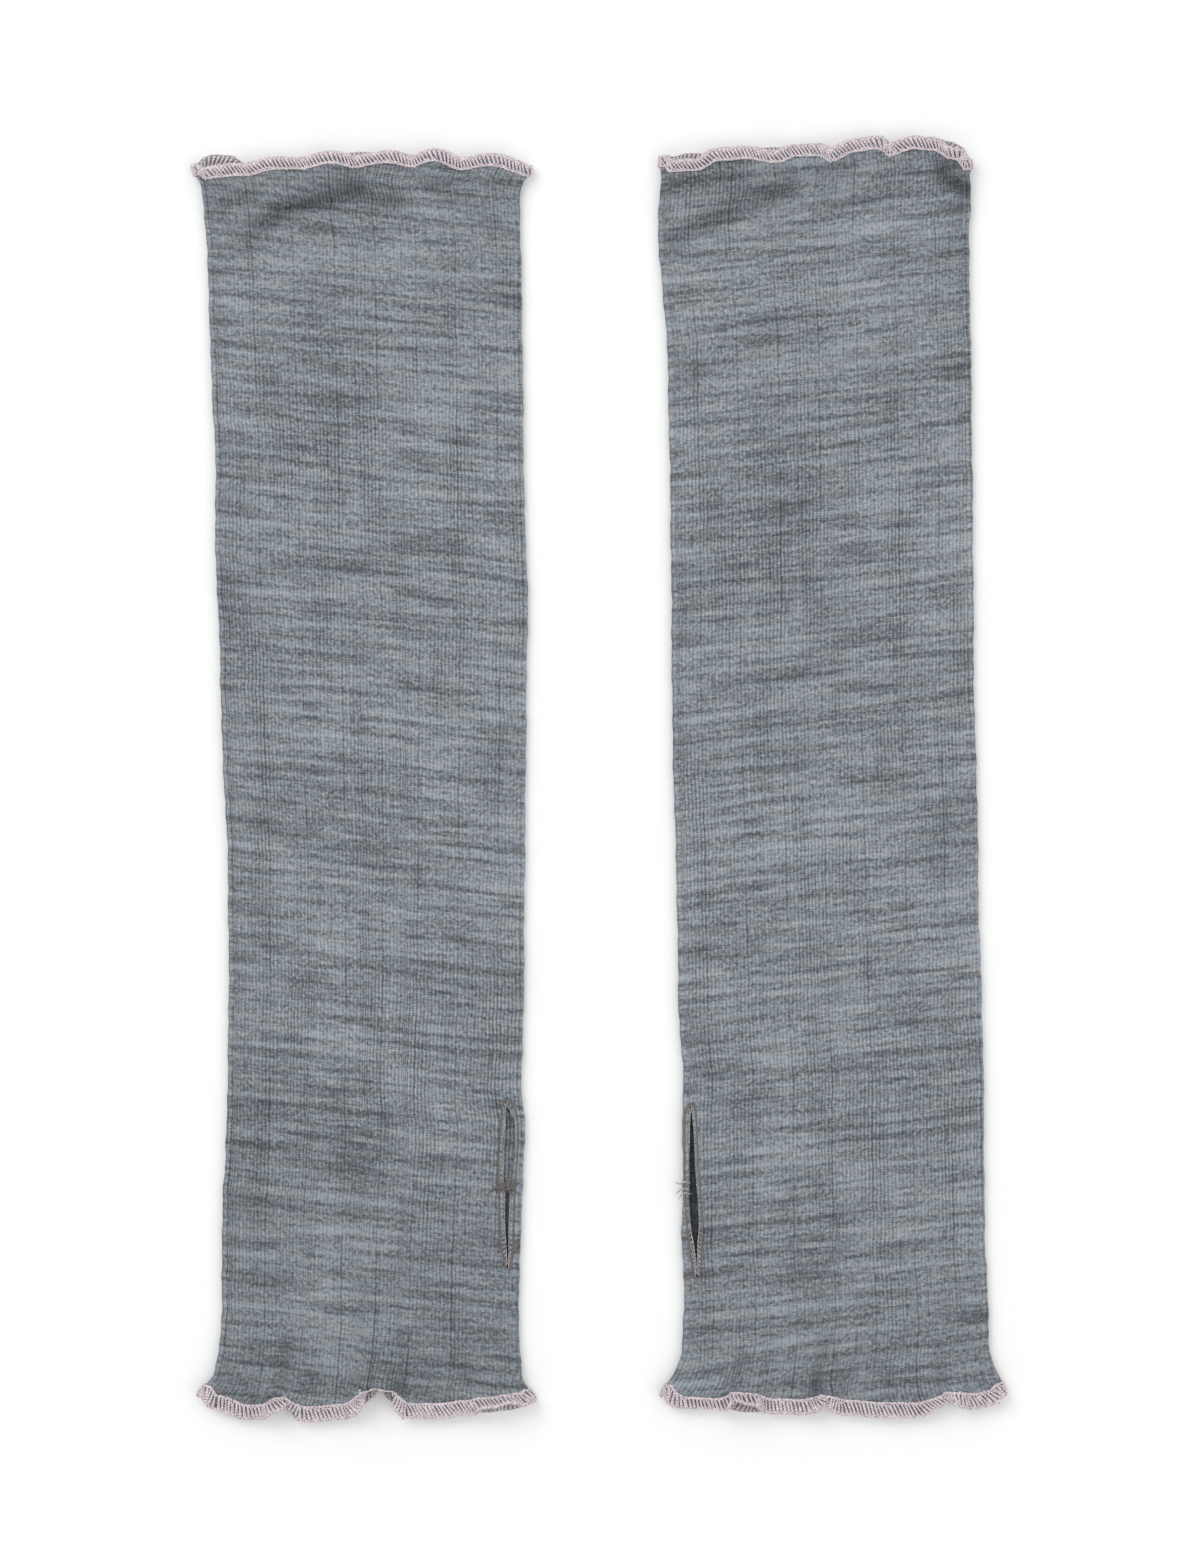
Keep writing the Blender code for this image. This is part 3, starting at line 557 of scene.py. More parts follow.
def knit_places(warmer, grid, settings):
    """Wale and course counts of a grid's columns and rows, with the last column of a round repeated."""
    closed = np.concatenate([grid, grid[:, :1]], axis=1)
    steps = np.linalg.norm(np.diff(closed, axis=1), axis=2)
    round_share = np.concatenate([np.zeros((len(grid), 1)), np.cumsum(steps, axis=1)], axis=1)
    round_share /= round_share[:, -1:]
    girth = float(np.median(steps.sum(axis=1)))
    wales = 2 * round(girth / settings.wale_pitch / 2)
    courses = (closed[..., 1] - HAND_LINE) / settings.course_pitch + warmer.helix * round_share
    return np.stack([round_share * wales, courses], axis=2)


def tube_faces(rows, columns, slit_column, slit_rows):
    """Faces of a wall on a closed grid, as corners of a grid whose first column is repeated, with the outer
    side first, then the inner one, then a rim round each open edge."""
    wide = columns + 1
    first, last = slit_rows
    cells = [
        (r * wide + c, (r + 1) * wide + c, (r + 1) * wide + c + 1, r * wide + c + 1)
        for r in range(rows - 1)
        for c in range(columns)
        if not (c == slit_column and first <= r < last)
    ]

    def vertex(corner):
        return corner // wide * columns + corner % wide % columns

    edges = {}
    for cell in cells:
        for a, b in zip(cell, cell[1:] + cell[:1]):
            edges[vertex(a), vertex(b)] = (a, b)
    shift = rows * wide
    faces = list(cells)
    faces += [tuple(shift + k for k in reversed(cell)) for cell in cells]
    faces += [
        (b, a, shift + a, shift + b) for (va, vb), (a, b) in edges.items() if (vb, va) not in edges
    ]
    return faces, vertex, shift


def new_piece(name, mesh, material):
    """A mesh put in the scene as a piece, with its one material."""
    mesh.materials.clear()
    mesh.materials.append(material)
    piece = bpy.data.objects.new(name, mesh)
    bpy.context.scene.collection.objects.link(piece)
    return piece


def carry(mesh, name, values):
    """Gives a mesh's points a number or a vector each, which materials and trees read by its name."""
    values = np.asarray(values, np.float32)
    kind, field = ("FLOAT", "value") if values.ndim == 1 else ("FLOAT_VECTOR", "vector")
    mesh.attributes.new(name, kind, "POINT").data.foreach_set(field, values.ravel())


def knit_tube(warmer, settings):
    """One warmer's cloth: a closed shell on both layers, cut through at the thumb slit."""
    grid, shade, slit_column, slit_rows = tube_grid(warmer, settings)
    hand_rows = band_rows(*mouth(warmer, "hand", grid))
    arm_rows = band_rows(*mouth(warmer, "arm", grid))
    extra = len(CORE_SHARES)
    whole = np.concatenate([hand_rows[::-1], grid, arm_rows])
    shade = np.pad(shade, ((extra, extra), (0, 0)), "edge")
    around, along = around_and_along(whole)
    normals = unit(np.cross(along, around))
    half = np.full(len(whole), WALL / 2)
    taper = WALL / 2 * (1 - CORE_TAPER * np.array(CORE_SHARES))
    half[:extra], half[-extra:] = taper[::-1], taper
    outer = whole + normals * half[:, None, None]
    inner = whole - normals * half[:, None, None]
    outer[..., 2] = np.maximum(outer[..., 2], 0.0)
    inner[..., 2] = np.maximum(inner[..., 2], LEAST_INSIDE)
    rows, columns = whole.shape[:2]
    corners, vertex, shift = tube_faces(rows, columns, slit_column, [row + extra for row in slit_rows])
    places = knit_places(warmer, whole, settings).reshape(-1, 2)
    count = rows * columns
    faces = [tuple(vertex(k) if k < shift else count + vertex(k - shift) for k in face) for face in corners]
    points = np.concatenate([outer.reshape(-1, 3), inner.reshape(-1, 3)])
    mesh = bpy.data.meshes.new(f"{warmer.name}_knit")
    mesh.from_pydata(points.tolist(), [], faces)
    layer = mesh.uv_layers.new(name="knit")
    flat = [places[k if k < shift else k - shift] for face in corners for k in face]
    layer.data.foreach_set("uv", np.array(flat, np.float32).ravel())
    # The crease attribute carries painted shade: darker colour in the troughs, along the ends and in the
    # slit's hollow
    carry(mesh, "crease", np.tile(shade.ravel(), 2))
    mesh.shade_smooth()
    return mesh


class Value:
    """A node's output in an expression: + - * / and ** add the Math or Vector Math node that they need."""

    def __init__(self, graph, socket):
        self.graph, self.socket = graph, socket

    def work(self, operation, *others):
        """A Math node's operation on this value and others, or a Vector Math node's."""
        terms = (self, *others)
        vector = any(isinstance(t, Value) and t.socket.type == "VECTOR" for t in terms)
        kind = "ShaderNodeVectorMath" if vector else "ShaderNodeMath"
        return self.graph.add(kind, {"operation": operation}, dict(enumerate(terms)))

    def __add__(self, other):
        return self.work("ADD", other)

    def __sub__(self, other):
        return self.work("SUBTRACT", other)

    def __mul__(self, other):
        return self.work("MULTIPLY", other)

    def __truediv__(self, other):
        return self.work("DIVIDE", other)

    def __pow__(self, other):
        return self.work("POWER", other)

    def __neg__(self):
        return self.work("MULTIPLY", -1.0)

    def __rsub__(self, other):
        return -self + other

    __radd__, __rmul__ = __add__, __mul__


class Graph:
    """A shader or geometry node tree that expressions and single nodes are added to."""

    def __init__(self, tree):
        self.tree = tree

    def add(self, kind, settings=None, inputs=None, output=0):
        """Adds a node: its settings first, then the values or links of its sockets. Gives one output."""
        node = self.tree.nodes.new(kind)
        for name, setting in (settings or {}).items():
            setattr(node, name, setting)
        for key, value in (inputs or {}).items():
            self.feed(node.inputs[key], value)
        return Value(self, node.outputs[output]) if node.outputs else node

    def feed(self, socket, value):
        """Links a value or a list of values to a socket, or sets the socket to a plain one."""
        if isinstance(value, (list, tuple)) and value and isinstance(value[0], Value):
            for one in value:
                self.tree.links.new(one.socket, socket)
        elif isinstance(value, Value):
            self.tree.links.new(value.socket, socket)
        elif socket.type == "VECTOR" and isinstance(value, (int, float)):
            socket.default_value = (value,) * 3
        else:
            socket.default_value = value

    def step(self, value, low, high, to_low=0.0, to_high=1.0):
        """A value carried smoothly from one range to another."""
        ranges = {0: value, 1: low, 2: high, 3: to_low, 4: to_high}
        return self.add("ShaderNodeMapRange", {"interpolation_type": "SMOOTHSTEP"}, ranges)

    def noise(self, place, scale, detail=2.0, roughness=0.5):
        """Cloudy values from 0 to 1."""
        inputs = {"Vector": place, "Scale": scale, "Detail": detail, "Roughness": roughness}
        return self.add("ShaderNodeTexNoise", {"noise_dimensions": "3D"}, inputs)

    def vector(self, x, y, z=0.0):
        """A vector from its three numbers."""
        return self.add("ShaderNodeCombineXYZ", None, {0: x, 1: y, 2: z})

    def parts(self, vector):
        """X, Y and Z of a vector."""
        node = self.add("ShaderNodeSeparateXYZ", None, {0: vector}).socket.node
        return [Value(self, socket) for socket in node.outputs]

    def mix(self, factor, first, second):
        """A colour between two colours."""
        return self.add("ShaderNodeMix", {"data_type": "RGBA"}, {0: factor, 6: first, 7: second}, output=2)

    def darken(self, colour, amount):
        """A colour multiplied by 1 less an amount."""
        kept = self.vector(1 - amount, 1 - amount, 1 - amount)
        settings = {"data_type": "RGBA", "blend_type": "MULTIPLY"}
        return self.add("ShaderNodeMix", settings, {0: 1.0, 6: colour, 7: kept}, output=2)

    def store(self, geometry, name, value, kind="FLOAT"):
        """A geometry whose points carry a value under a name."""
        settings = {"data_type": kind, "domain": "POINT"}
        inputs = {"Geometry": geometry, "Name": name, "Value": value}
        return self.add("GeometryNodeStoreNamedAttribute", settings, inputs)

    def carried(self, name, kind="FLOAT"):
        """What the points carry under a name."""
        return self.add("GeometryNodeInputNamedAttribute", {"data_type": kind}, {"Name": name})


def new_material(name):
    """An empty material and its graph."""
    material = bpy.data.materials.new(name)
    material.use_nodes = True
    material.node_tree.nodes.clear()
    return material, Graph(material.node_tree)


def finish_material(graph, inputs, height, distance, strength):
    """Ends a material in a Principled shader with a bump."""
    bump = {"Strength": strength, "Distance": distance, "Height": height}
    normal = graph.add("ShaderNodeBump", None, bump)
    shader = graph.add("ShaderNodeBsdfPrincipled", None, {**inputs, "Normal": normal})
    graph.add("ShaderNodeOutputMaterial", None, {"Surface": shader})


def fract(value):
    """What is left of a value past its whole number."""
    return value.work("FRACT")


def wave(value):
    """A cosine that rises from 0 to 1 and falls again, once for each whole number."""
    return (value * (2 * math.pi)).work("COSINE") * 0.5 + 0.5


# A grain of the melange: how fast it changes from wale to wale and from course to course, where in the noise
# it starts, and the noise's detail and roughness
Grain = namedtuple("Grain", "wales courses start detail roughness")
# The layers of the melange, each under the name of the setting that gives its contrast
MELANGE = {
    "streaks": Grain(0.04, 0.33, 0.0, 2.0, 0.5),
    "strokes": Grain(0.14, 0.6, 3.0, 1.0, 0.5),
    "flecks": Grain(0.9, 0.75, 5.0, 1.0, 0.5),
    "bands": Grain(0.018, 0.075, 9.0, 2.0, 0.5),
    "columns": Grain(0.6, 0.012, 14.0, 2.0, 0.6),
}
OPEN_KNIT = Grain(0.11, 0.012, 0.0, 2.0, 0.6)
WARMTH = Grain(0.06, 0.3, 21.0, 2.0, 0.5)
FIBRES_A_METRE, FIBRE_CONTRAST = 2600.0, 1.2
PATCHES_A_METRE = 20.0
# The most that painted shade and needle lines together may darken the knit's colour
DARKEST = 0.85

# How far wales and courses drift from straight, in stitches
DRIFTS_A_METRE, WALE_DRIFT, COURSE_DRIFT = 90.0, 0.5, 0.9

# A needle line: where its shade begins and is full, how unlike its neighbours it is, and how often it breaks
NEEDLE_LINE, NEEDLE_APART, NEEDLE_BREAKS = (0.04, 0.008), 7.3, 0.03

# The rib shows less towards the ends: between these distances from the middle, down to this share
RIB_FADE_PLACES, RIB_AT_ENDS = (0.09, 0.18), 0.55


def knit_material(settings):
    """Grey melange rib: wales and courses from the piece's knit map, painted shade in the holes between
    stitches and in the valleys between the ribs, streaks along the courses, faint needle lines along the
    wales, and painted shade towards the ends and in the creases."""
    material, graph = new_material("grey melange knit")
    knit = graph.add("ShaderNodeUVMap", {"uv_map": "knit"})
    place = graph.add("ShaderNodeTexCoord", output="Object")
    wale, course, _ = graph.parts(knit)
    drift = graph.noise(place, DRIFTS_A_METRE, 1.0) - 0.5
    wale = wale + drift * WALE_DRIFT
    course = course + drift * COURSE_DRIFT
    lean = (fract(wale + 0.5) - 0.5).work("ABSOLUTE") * 2.0
    rib = wave(wale)
    stitch = wave(course + lean * 0.4)
    fibre = graph.noise(place, FIBRES_A_METRE, 3.0, 0.7)

    def grained(grain):
        place = graph.vector(wale * grain.wales, course * grain.courses, grain.start)
        return graph.noise(place, 1.0, grain.detail, grain.roughness)

    open_knit = graph.step(grained(OPEN_KNIT), 0.42, 0.7)
    from_middle = graph.parts(place)[1].work("ABSOLUTE")
    ribbed = graph.step(from_middle, *RIB_FADE_PLACES, 1.0, RIB_AT_ENDS)
    height = rib * ribbed * (0.2 + 0.3 * open_knit) + stitch * (0.25 + rib * 0.35) + fibre * 0.35

    tone = 0.5
    for name, grain in MELANGE.items():
        tone = tone + (grained(grain) - 0.5) * getattr(settings, name)
    patch = graph.noise(place, PATCHES_A_METRE, 2.0) - 0.5
    tone = tone + patch * settings.patches + (fibre - 0.5) * FIBRE_CONTRAST
    warm = grained(WARMTH)
    light = graph.mix(graph.step(warm, 0.4, 0.6), (*settings.light_yarn, 1.0), (*settings.warm_yarn, 1.0))
    colour = graph.mix(graph.step(tone, 0.0, 1.0), (*settings.dark_yarn, 1.0), light)
    # Painted shade in the holes between stitches, deeper where the knit is open
    gap = graph.step(rib, 0.35, 0.0) * graph.step(stitch, 0.75, 0.1)
    needles = wale / settings.needle_every
    line = graph.step((fract(needles) - 0.5).work("ABSOLUTE"), *NEEDLE_LINE)
    broken = graph.noise(graph.vector(needles.work("FLOOR") * NEEDLE_APART, course * NEEDLE_BREAKS), 1.0, 2.0)
    needle = line * graph.step(broken, 0.3, 0.65)
    crease = graph.add("ShaderNodeAttribute", {"attribute_name": "crease"}, output="Fac")
    # How far the colour is darkened: painted shade in the holes, in the valleys between the ribs, towards the
    # ends and in the creases, with the needle lines, which are the yarn's own
    dark = (
        gap * (0.22 + 0.3 * open_knit)
        + needle * settings.needle_shade
        + (1 - rib) * ribbed * (0.27 + 0.08 * open_knit)
        + (1 - ribbed) * settings.end_shade
        + crease * settings.crease_shade
    )
    finish_material(graph, {
        "Base Color": graph.darken(colour, dark.work("MINIMUM", DARKEST)),
        "Roughness": 0.86 + 0.12 * fibre,
        "Sheen Weight": settings.sheen,
        "Sheen Roughness": 0.55,
        "Specular IOR Level": 0.2,
    }, height, distance=0.45 * MM, strength=0.9)
    return material


# Thread: the length of one turn of its plies, and how fine its fibres are
PLY_TURN, HAIRS_A_METRE = 0.9 * MM, 3200.0


def thread_material(name, settings, seam=None):
    """Spun sewing thread: twisted plies along each strand, from the strand's own attributes, with painted
    highlight on the plies' crowns and painted shade in the grooves between them, mixed with the thread's own
    mottling. A seam colour takes over towards the seam."""
    material, graph = new_material(name)
    strand = graph.add("ShaderNodeAttribute", {"attribute_name": "strand"}, output="Vector")
    place = graph.add("ShaderNodeTexCoord", output="Object")
    across, up, run = graph.parts(strand)
    turn = run * (2 * math.pi / PLY_TURN)
    twist = (across * turn.work("COSINE") + up * turn.work("SINE")) * 0.5 + 0.5
    hair = graph.noise(place, HAIRS_A_METRE, 2.0, 0.7)
    patch = graph.noise(place, settings.speckle, 2.0)
    # Painted highlight and shade from the twist of the plies, mixed with the thread's own random mottling
    tone = graph.step(0.35 * twist + 0.4 * hair + 0.55 * patch, 0.25, 1.0)
    colour = graph.mix(tone, (*settings.dark, 1.0), (*settings.light, 1.0))
    if seam:
        share = graph.add("ShaderNodeAttribute", {"attribute_name": "share"}, output="Fac")
        colour = graph.mix(graph.step(share, 0.12, 0.3), (*seam, 1.0), colour)
    finish_material(graph, {
        "Base Color": colour,
        "Roughness": 0.62 + 0.25 * hair,
        "Sheen Weight": 0.2,
        "Sheen Roughness": 0.5,
        "Specular IOR Level": 0.3,
    }, twist * 0.8 + hair * 0.4, distance=0.12 * MM, strength=0.7)
    return material


def floor_material(colour):
    """Smooth pale card, with the faintest mottling."""
    material, graph = new_material("pale floor")
    place = graph.add("ShaderNodeTexCoord", output="Object")
    mottle = graph.noise(place, 40.0, 3.0)
    lighter = tuple(min(1.0, c * 1.01) for c in colour)
    finish_material(graph, {
        "Base Color": graph.mix(mottle, (*colour, 1.0), (*lighter, 1.0)),
        "Roughness": 0.9,
        "Specular IOR Level": 0.1,
    }, mottle, distance=0.02 * MM, strength=0.1)
    return material


def new_tree(name, inputs):
    """A geometry node tree with named inputs, its graph, and those inputs by name."""
    tree = bpy.data.node_groups.new(name, "GeometryNodeTree")
    tree.interface.new_socket("Geometry", in_out="OUTPUT", socket_type="NodeSocketGeometry")
    for label, kind, default in inputs:
        socket = tree.interface.new_socket(label, in_out="INPUT", socket_type=f"NodeSocket{kind}")
        if default is not None:
            socket.default_value = default
    graph = Graph(tree)
    node = tree.nodes.new("NodeGroupInput")
    return tree, graph, {label: Value(graph, node.outputs[label]) for label, _, _ in inputs}


# Sizes that an edging hands on to each of its strands, with their defaults
SHARED_SIZES = (
    ("Guide", "Geometry", None),
    ("Pitch", "Float", 1.2 * MM),
    ("Strand Radius", "Float", 0.27 * MM),
    ("Slant", "Float", 0.9),
    ("Core", "Float", 0.6 * MM),
    ("Looseness", "Float", 0.12),
)

# How uneven the strands are: a noise's scale and how far it sways their slant, and where they swell
SLANT_PATCHES, SLANT_SWAY = 110.0, 1.6
SWELL_PATCHES, SWELL_SWAY, SWELL_PLACES = 160.0, 1.2, (0.4, 0.85)

# How a strand lies on the knit: how far out it sits, how far it rises over its neighbour, and how round the
# band's free edge is
STRAND_REST, STRAND_RISE, EDGE_ROUNDING = 0.75, 0.35, 6.0

# What keeps a stitch's first point from being counted with the stitch before it
STITCH_NUDGE = 0.0005


def strand_tree():
    """One strand of an edging: it loops to and fro across the band as it travels along the guide. The guide
    carries at each point the ways out and up, its curl and its width."""
    tree, graph, given = new_tree("overlock strand", [
        *SHARED_SIZES,
        ("Points per Stitch", "Int", 10),
        ("Strand Sides", "Int", 5),
        ("Tip Share", "Float", 1.0),
        ("Seam Share", "Float", 0.0),
        ("Travel", "Float", 0.25),
        ("Fork", "Float", 0.17),
        ("Face", "Float", 1.0),
        ("Tip Swell", "Float", 0.0),
        ("Seed", "Int", 1),
    ])
    radius, looseness, per_stitch = given["Strand Radius"], given["Looseness"], given["Points per Stitch"]
    guide = graph.add("GeometryNodeMeshToCurve", None, {"Mesh": given["Guide"]})
    length = graph.add("GeometryNodeCurveLength", None, {"Curve": guide})
    points = (length / given["Pitch"]).work("ROUND") * per_stitch
    curve = graph.add("GeometryNodeResampleCurve", {"mode": "COUNT"}, {"Curve": guide, "Count": points})

    progress = graph.add("GeometryNodeInputIndex") / per_stitch
    stitch = (progress + STITCH_NUDGE).work("FLOOR")
    turn = (progress - stitch) * (2 * math.pi)
    chances = {2: -1.0, 3: 1.0, "ID": stitch, "Seed": given["Seed"]}
    chance = graph.add("FunctionNodeRandomValue", {"data_type": "FLOAT"}, chances, output=1)
    share = turn.work("COSINE") * 0.5 + 0.5
    loose = looseness * chance * (1 - share)
    across = given["Seam Share"] + (given["Tip Share"] - given["Seam Share"]) * (share + loose)
    spot = graph.add("GeometryNodeInputPosition")
    slant = given["Slant"] + (graph.noise(spot, SLANT_PATCHES, 1.0) - 0.5) * SLANT_SWAY
    fork = (turn * 2.0).work("SINE") * given["Fork"]
    ahead = fork - turn.work("SINE") * given["Travel"] + slant * (share - 0.5) + loose

    width, curl = graph.carried("width"), graph.carried("curl")
    out, up = (graph.carried(name, "FLOAT_VECTOR").work("NORMALIZE") for name in ("out", "up"))
    start = graph.step(curl, -CURL_EASE, 0.0, CURL_START_UNDER, CURL_START_UP)
    bend = curl * (start + (1 - start) * across)
    reach = out * bend.work("COSINE") + up * bend.work("SINE")
    thick = up * bend.work("COSINE") - out * bend.work("SINE")
    rounding = (1 - across.work("MINIMUM", 1.0).work("MAXIMUM", 0.0) ** EDGE_ROUNDING).work("SQRT")
    core = given["Core"] * (1 - CORE_TAPER * across)
    over = radius * STRAND_RISE * turn.work("SINE")
    tucked = graph.step(curl, *TUCKING_CURL, 1.0, TUCKED_SHARE)
    height = given["Face"] * ((core + radius * STRAND_REST) * rounding + over) * tucked
    tangent = graph.add("GeometryNodeInputTangent")
    offset = reach * (across * width) + thick * height + tangent * (ahead * given["Pitch"])
    kept = graph.store(graph.store(curve, "share", across), "spot", spot, "FLOAT_VECTOR")
    moved = graph.add("GeometryNodeSetPosition", None, {"Geometry": kept, "Offset": offset})
    x, y, z = graph.parts(spot)
    lowest = radius * (1.0 + given["Tip Swell"])
    above = {"Geometry": moved, "Position": graph.vector(x, y, z.work("MAXIMUM", lowest))}
    grounded = graph.add("GeometryNodeSetPosition", None, above)

    sway = (graph.noise(graph.carried("spot", "FLOAT_VECTOR"), SWELL_PATCHES, 1.0) - 0.5) * SWELL_SWAY
    swollen = 1.0 + given["Tip Swell"] * graph.step(graph.carried("share") + sway, *SWELL_PLACES)
    run = graph.add("GeometryNodeSplineParameter", output="Length")
    measured = graph.store(grounded, "strand_run", run)
    circle = {"Resolution": given["Strand Sides"], "Radius": radius}
    profile = graph.add("GeometryNodeCurvePrimitiveCircle", {"mode": "RADIUS"}, circle)
    around = graph.add("GeometryNodeInputPosition") / radius
    profile = graph.store(profile, "strand_round", around, "FLOAT_VECTOR")
    swept = {"Curve": measured, "Profile Curve": profile, "Scale": swollen}
    mesh = graph.add("GeometryNodeCurveToMesh", None, swept)
    round_x, round_y, _ = graph.parts(graph.carried("strand_round", "FLOAT_VECTOR"))
    strand = graph.vector(round_x, round_y, graph.carried("strand_run"))
    graph.add("NodeGroupOutput", None, {"Geometry": graph.store(mesh, "strand", strand, "FLOAT_VECTOR")})
    return tree


def edging_tree(strand):
    """An overlocked edge: looper threads over both faces, a thread along the tip and one along the seam."""
    tree, graph, given = new_tree("overlocked edge", [
        *SHARED_SIZES,
        ("Rim Weight", "Float", 1.4),
        ("Seam Weight", "Float", 1.0),
        ("Tip Swell", "Float", 0.0),
        ("Seed", "Int", 1),
        ("Thread", "Material", None),
    ])

    def thread(seed, **changes):
        inputs = {name: given[name] for name, _, _ in SHARED_SIZES}
        inputs["Seed"] = given["Seed"] + seed
        inputs.update({name.replace("_", " "): value for name, value in changes.items()})
        return graph.add("GeometryNodeGroup", {"node_tree": strand}, inputs)

    rim = given["Strand Radius"] * given["Rim Weight"]
    seam = given["Strand Radius"] * given["Seam Weight"]
    straight = {"Fork": 0.0, "Slant": 0.0}
    at_seam = {"Seam_Share": -0.04, "Tip_Share": 0.03, "Travel": 0.12, **straight}
    threads = [
        thread(1, Tip_Swell=given["Tip Swell"]),
        thread(2, Face=-1.0),
        thread(3, Seam_Share=0.9, Tip_Share=0.97, Travel=0.2, Strand_Radius=rim, Core=0.15 * MM, **straight),
        thread(4, Strand_Radius=seam, **at_seam),
        thread(5, Face=-1.0, **at_seam),
    ]
    joined = graph.add("GeometryNodeJoinGeometry", None, {"Geometry": threads})
    smooth = graph.add("GeometryNodeSetShadeSmooth", None, {"Geometry": joined})
    real = graph.add("GeometryNodeRealizeInstances", None, {"Geometry": smooth})
    painted = graph.add("GeometryNodeSetMaterial", None, {"Geometry": real, "Material": given["Thread"]})
    graph.add("NodeGroupOutput", None, {"Geometry": painted})
    return tree


def guide_loop(name, points, out, up, curl, width):
    """A closed line of points that carries what the edging reads at each of them."""
    count = len(points)
    mesh = bpy.data.meshes.new(name)
    mesh.from_pydata(np.asarray(points).tolist(), [(k, (k + 1) % count) for k in range(count)], [])
    for label, values in (("out", out), ("up", up), ("curl", curl), ("width", width)):
        carry(mesh, label, values)
    guide = bpy.data.objects.new(name, mesh)
    bpy.context.scene.collection.objects.link(guide)
    return guide


def grown(guide, tree, values, material):
    """The plain mesh that a tree makes of a guide, which is then removed."""
    modifier = guide.modifiers.new("overlock", "NODES")
    modifier.node_group = tree
    named = {item.name: item.identifier for item in tree.interface.items_tree if item.in_out == "INPUT"}
    for name, value in {**values, "Thread": material}.items():
        modifier[named[name]] = value
    graph = bpy.context.evaluated_depsgraph_get()
    mesh = bpy.data.meshes.new_from_object(guide.evaluated_get(graph), depsgraph=graph)
    guide.modifiers.remove(modifier)
    name = guide.name
    bpy.data.objects.remove(guide, do_unlink=True)
    return new_piece(name, mesh, material)


def slit_guide(warmer, settings):
    """The seam line round the thumb slit, with the way to its free edge and how far that is."""
    stations = sorted(warmer.slit)
    places = np.array([s.along for s in stations]) * MM
    low, high = places[0], places[-1]
    middle, half = (low + high) / 2, (high - low) / 2
    y = np.linspace(low, high, SLIT_GUIDE_STEPS)
    fold = side_fold(warmer, y, warmer.slit_fold)
    sign = 1 if warmer.slit_fold == "left" else -1
    inner_y = middle + (y - middle) * (half - SLIT_BAND_END) / half
    edges = []
    for side in ("near", "far"):
        seam = hermite(places, [getattr(s, side) * MM for s in stations], y)
        gap = hermite(places, [getattr(s, f"gap_{side}") * MM for s in stations], y)
        edges.append((fold + sign * seam, fold + sign * gap))
    (near_seam, near_gap), (far_seam, far_gap) = edges
    seam = np.concatenate([np.stack([near_seam, y], 1), np.stack([far_seam, y], 1)[::-1]])
    gap = np.concatenate([np.stack([near_gap, inner_y], 1), np.stack([far_gap, inner_y], 1)[::-1]])
    height = np.full((len(seam), 1), UPPER_HEIGHT + settings.slit_lift)
    points = np.concatenate([seam, height], axis=1)
    toward = np.concatenate([gap - seam, np.zeros_like(height)], axis=1)
    width = np.linalg.norm(toward, axis=1)
    up = np.tile([0.0, 0.0, 1.0], (len(points), 1))
    return points, toward / width[:, None], up, np.zeros(len(points)), width


def tube_along(points, radius, sides=TAIL_SIDES, steps=TAIL_STEPS):
    """Points, faces and strand places of a thin round strand through some points, pointed at both ends."""
    points = np.array(points) * MM
    t = np.linspace(0, len(points) - 1, steps)
    places = np.arange(len(points))
    path = np.stack([hermite(places, points[:, axis], t) for axis in range(3)], axis=1)
    run = unit(np.gradient(path, axis=0))
    side = unit(np.cross(run, [0.0, 0.0, 1.0]))
    up = np.cross(side, run)
    angles = np.arange(sides) * 2 * math.pi / sides
    thick = radius * MM * np.sqrt(np.sin(np.linspace(TAIL_POINT, math.pi - TAIL_POINT, steps)))
    rings = path[:, None] + thick[:, None, None] * (
        np.cos(angles)[None, :, None] * side[:, None] + np.sin(angles)[None, :, None] * up[:, None]
    )
    faces = [
        (k + s, k + (s + 1) % sides, k + sides + (s + 1) % sides, k + sides + s)
        for k in range(0, (steps - 1) * sides, sides)
        for s in range(sides)
    ]
    faces.append(tuple(reversed(range(sides))))
    faces.append(tuple(range((steps - 1) * sides, steps * sides)))
    strand = [(math.cos(a), math.sin(a), k * TAIL_RUN) for k in range(steps) for a in angles]
    return rings.reshape(-1, 3), faces, strand


def tails_mesh(name, tails):
    """All the loose thread ends of one slit."""
    points, faces, strands, shares = [], [], [], []
    for tail in tails:
        made, sides, strand = tube_along(tail.points, tail.radius)
        shares += [tail.light] * len(made)
        faces += [tuple(len(points) + k for k in face) for face in sides]
        points += made.tolist()
        strands += strand
    mesh = bpy.data.meshes.new(name)
    mesh.from_pydata(points, [], faces)
    carry(mesh, "strand", strands)
    carry(mesh, "share", shares)
    mesh.shade_smooth()
    return mesh


def soft_lamp(name, place, size, power):
    """A square lamp that faces the middle of the floor."""
    data = bpy.data.lights.new(name, "AREA")
    data.shape, data.size, data.energy = "SQUARE", size, power
    lamp = bpy.data.objects.new(name, data)
    lamp.location = place
    lamp.rotation_euler = (-Vector(place)).to_track_quat("-Z", "Y").to_euler()
    bpy.context.scene.collection.objects.link(lamp)


# Kinds of setting
Length = partial(FloatProperty, unit="LENGTH")
Share = partial(FloatProperty, subtype="FACTOR")
Colour = partial(FloatVectorProperty, subtype="COLOR", size=3)


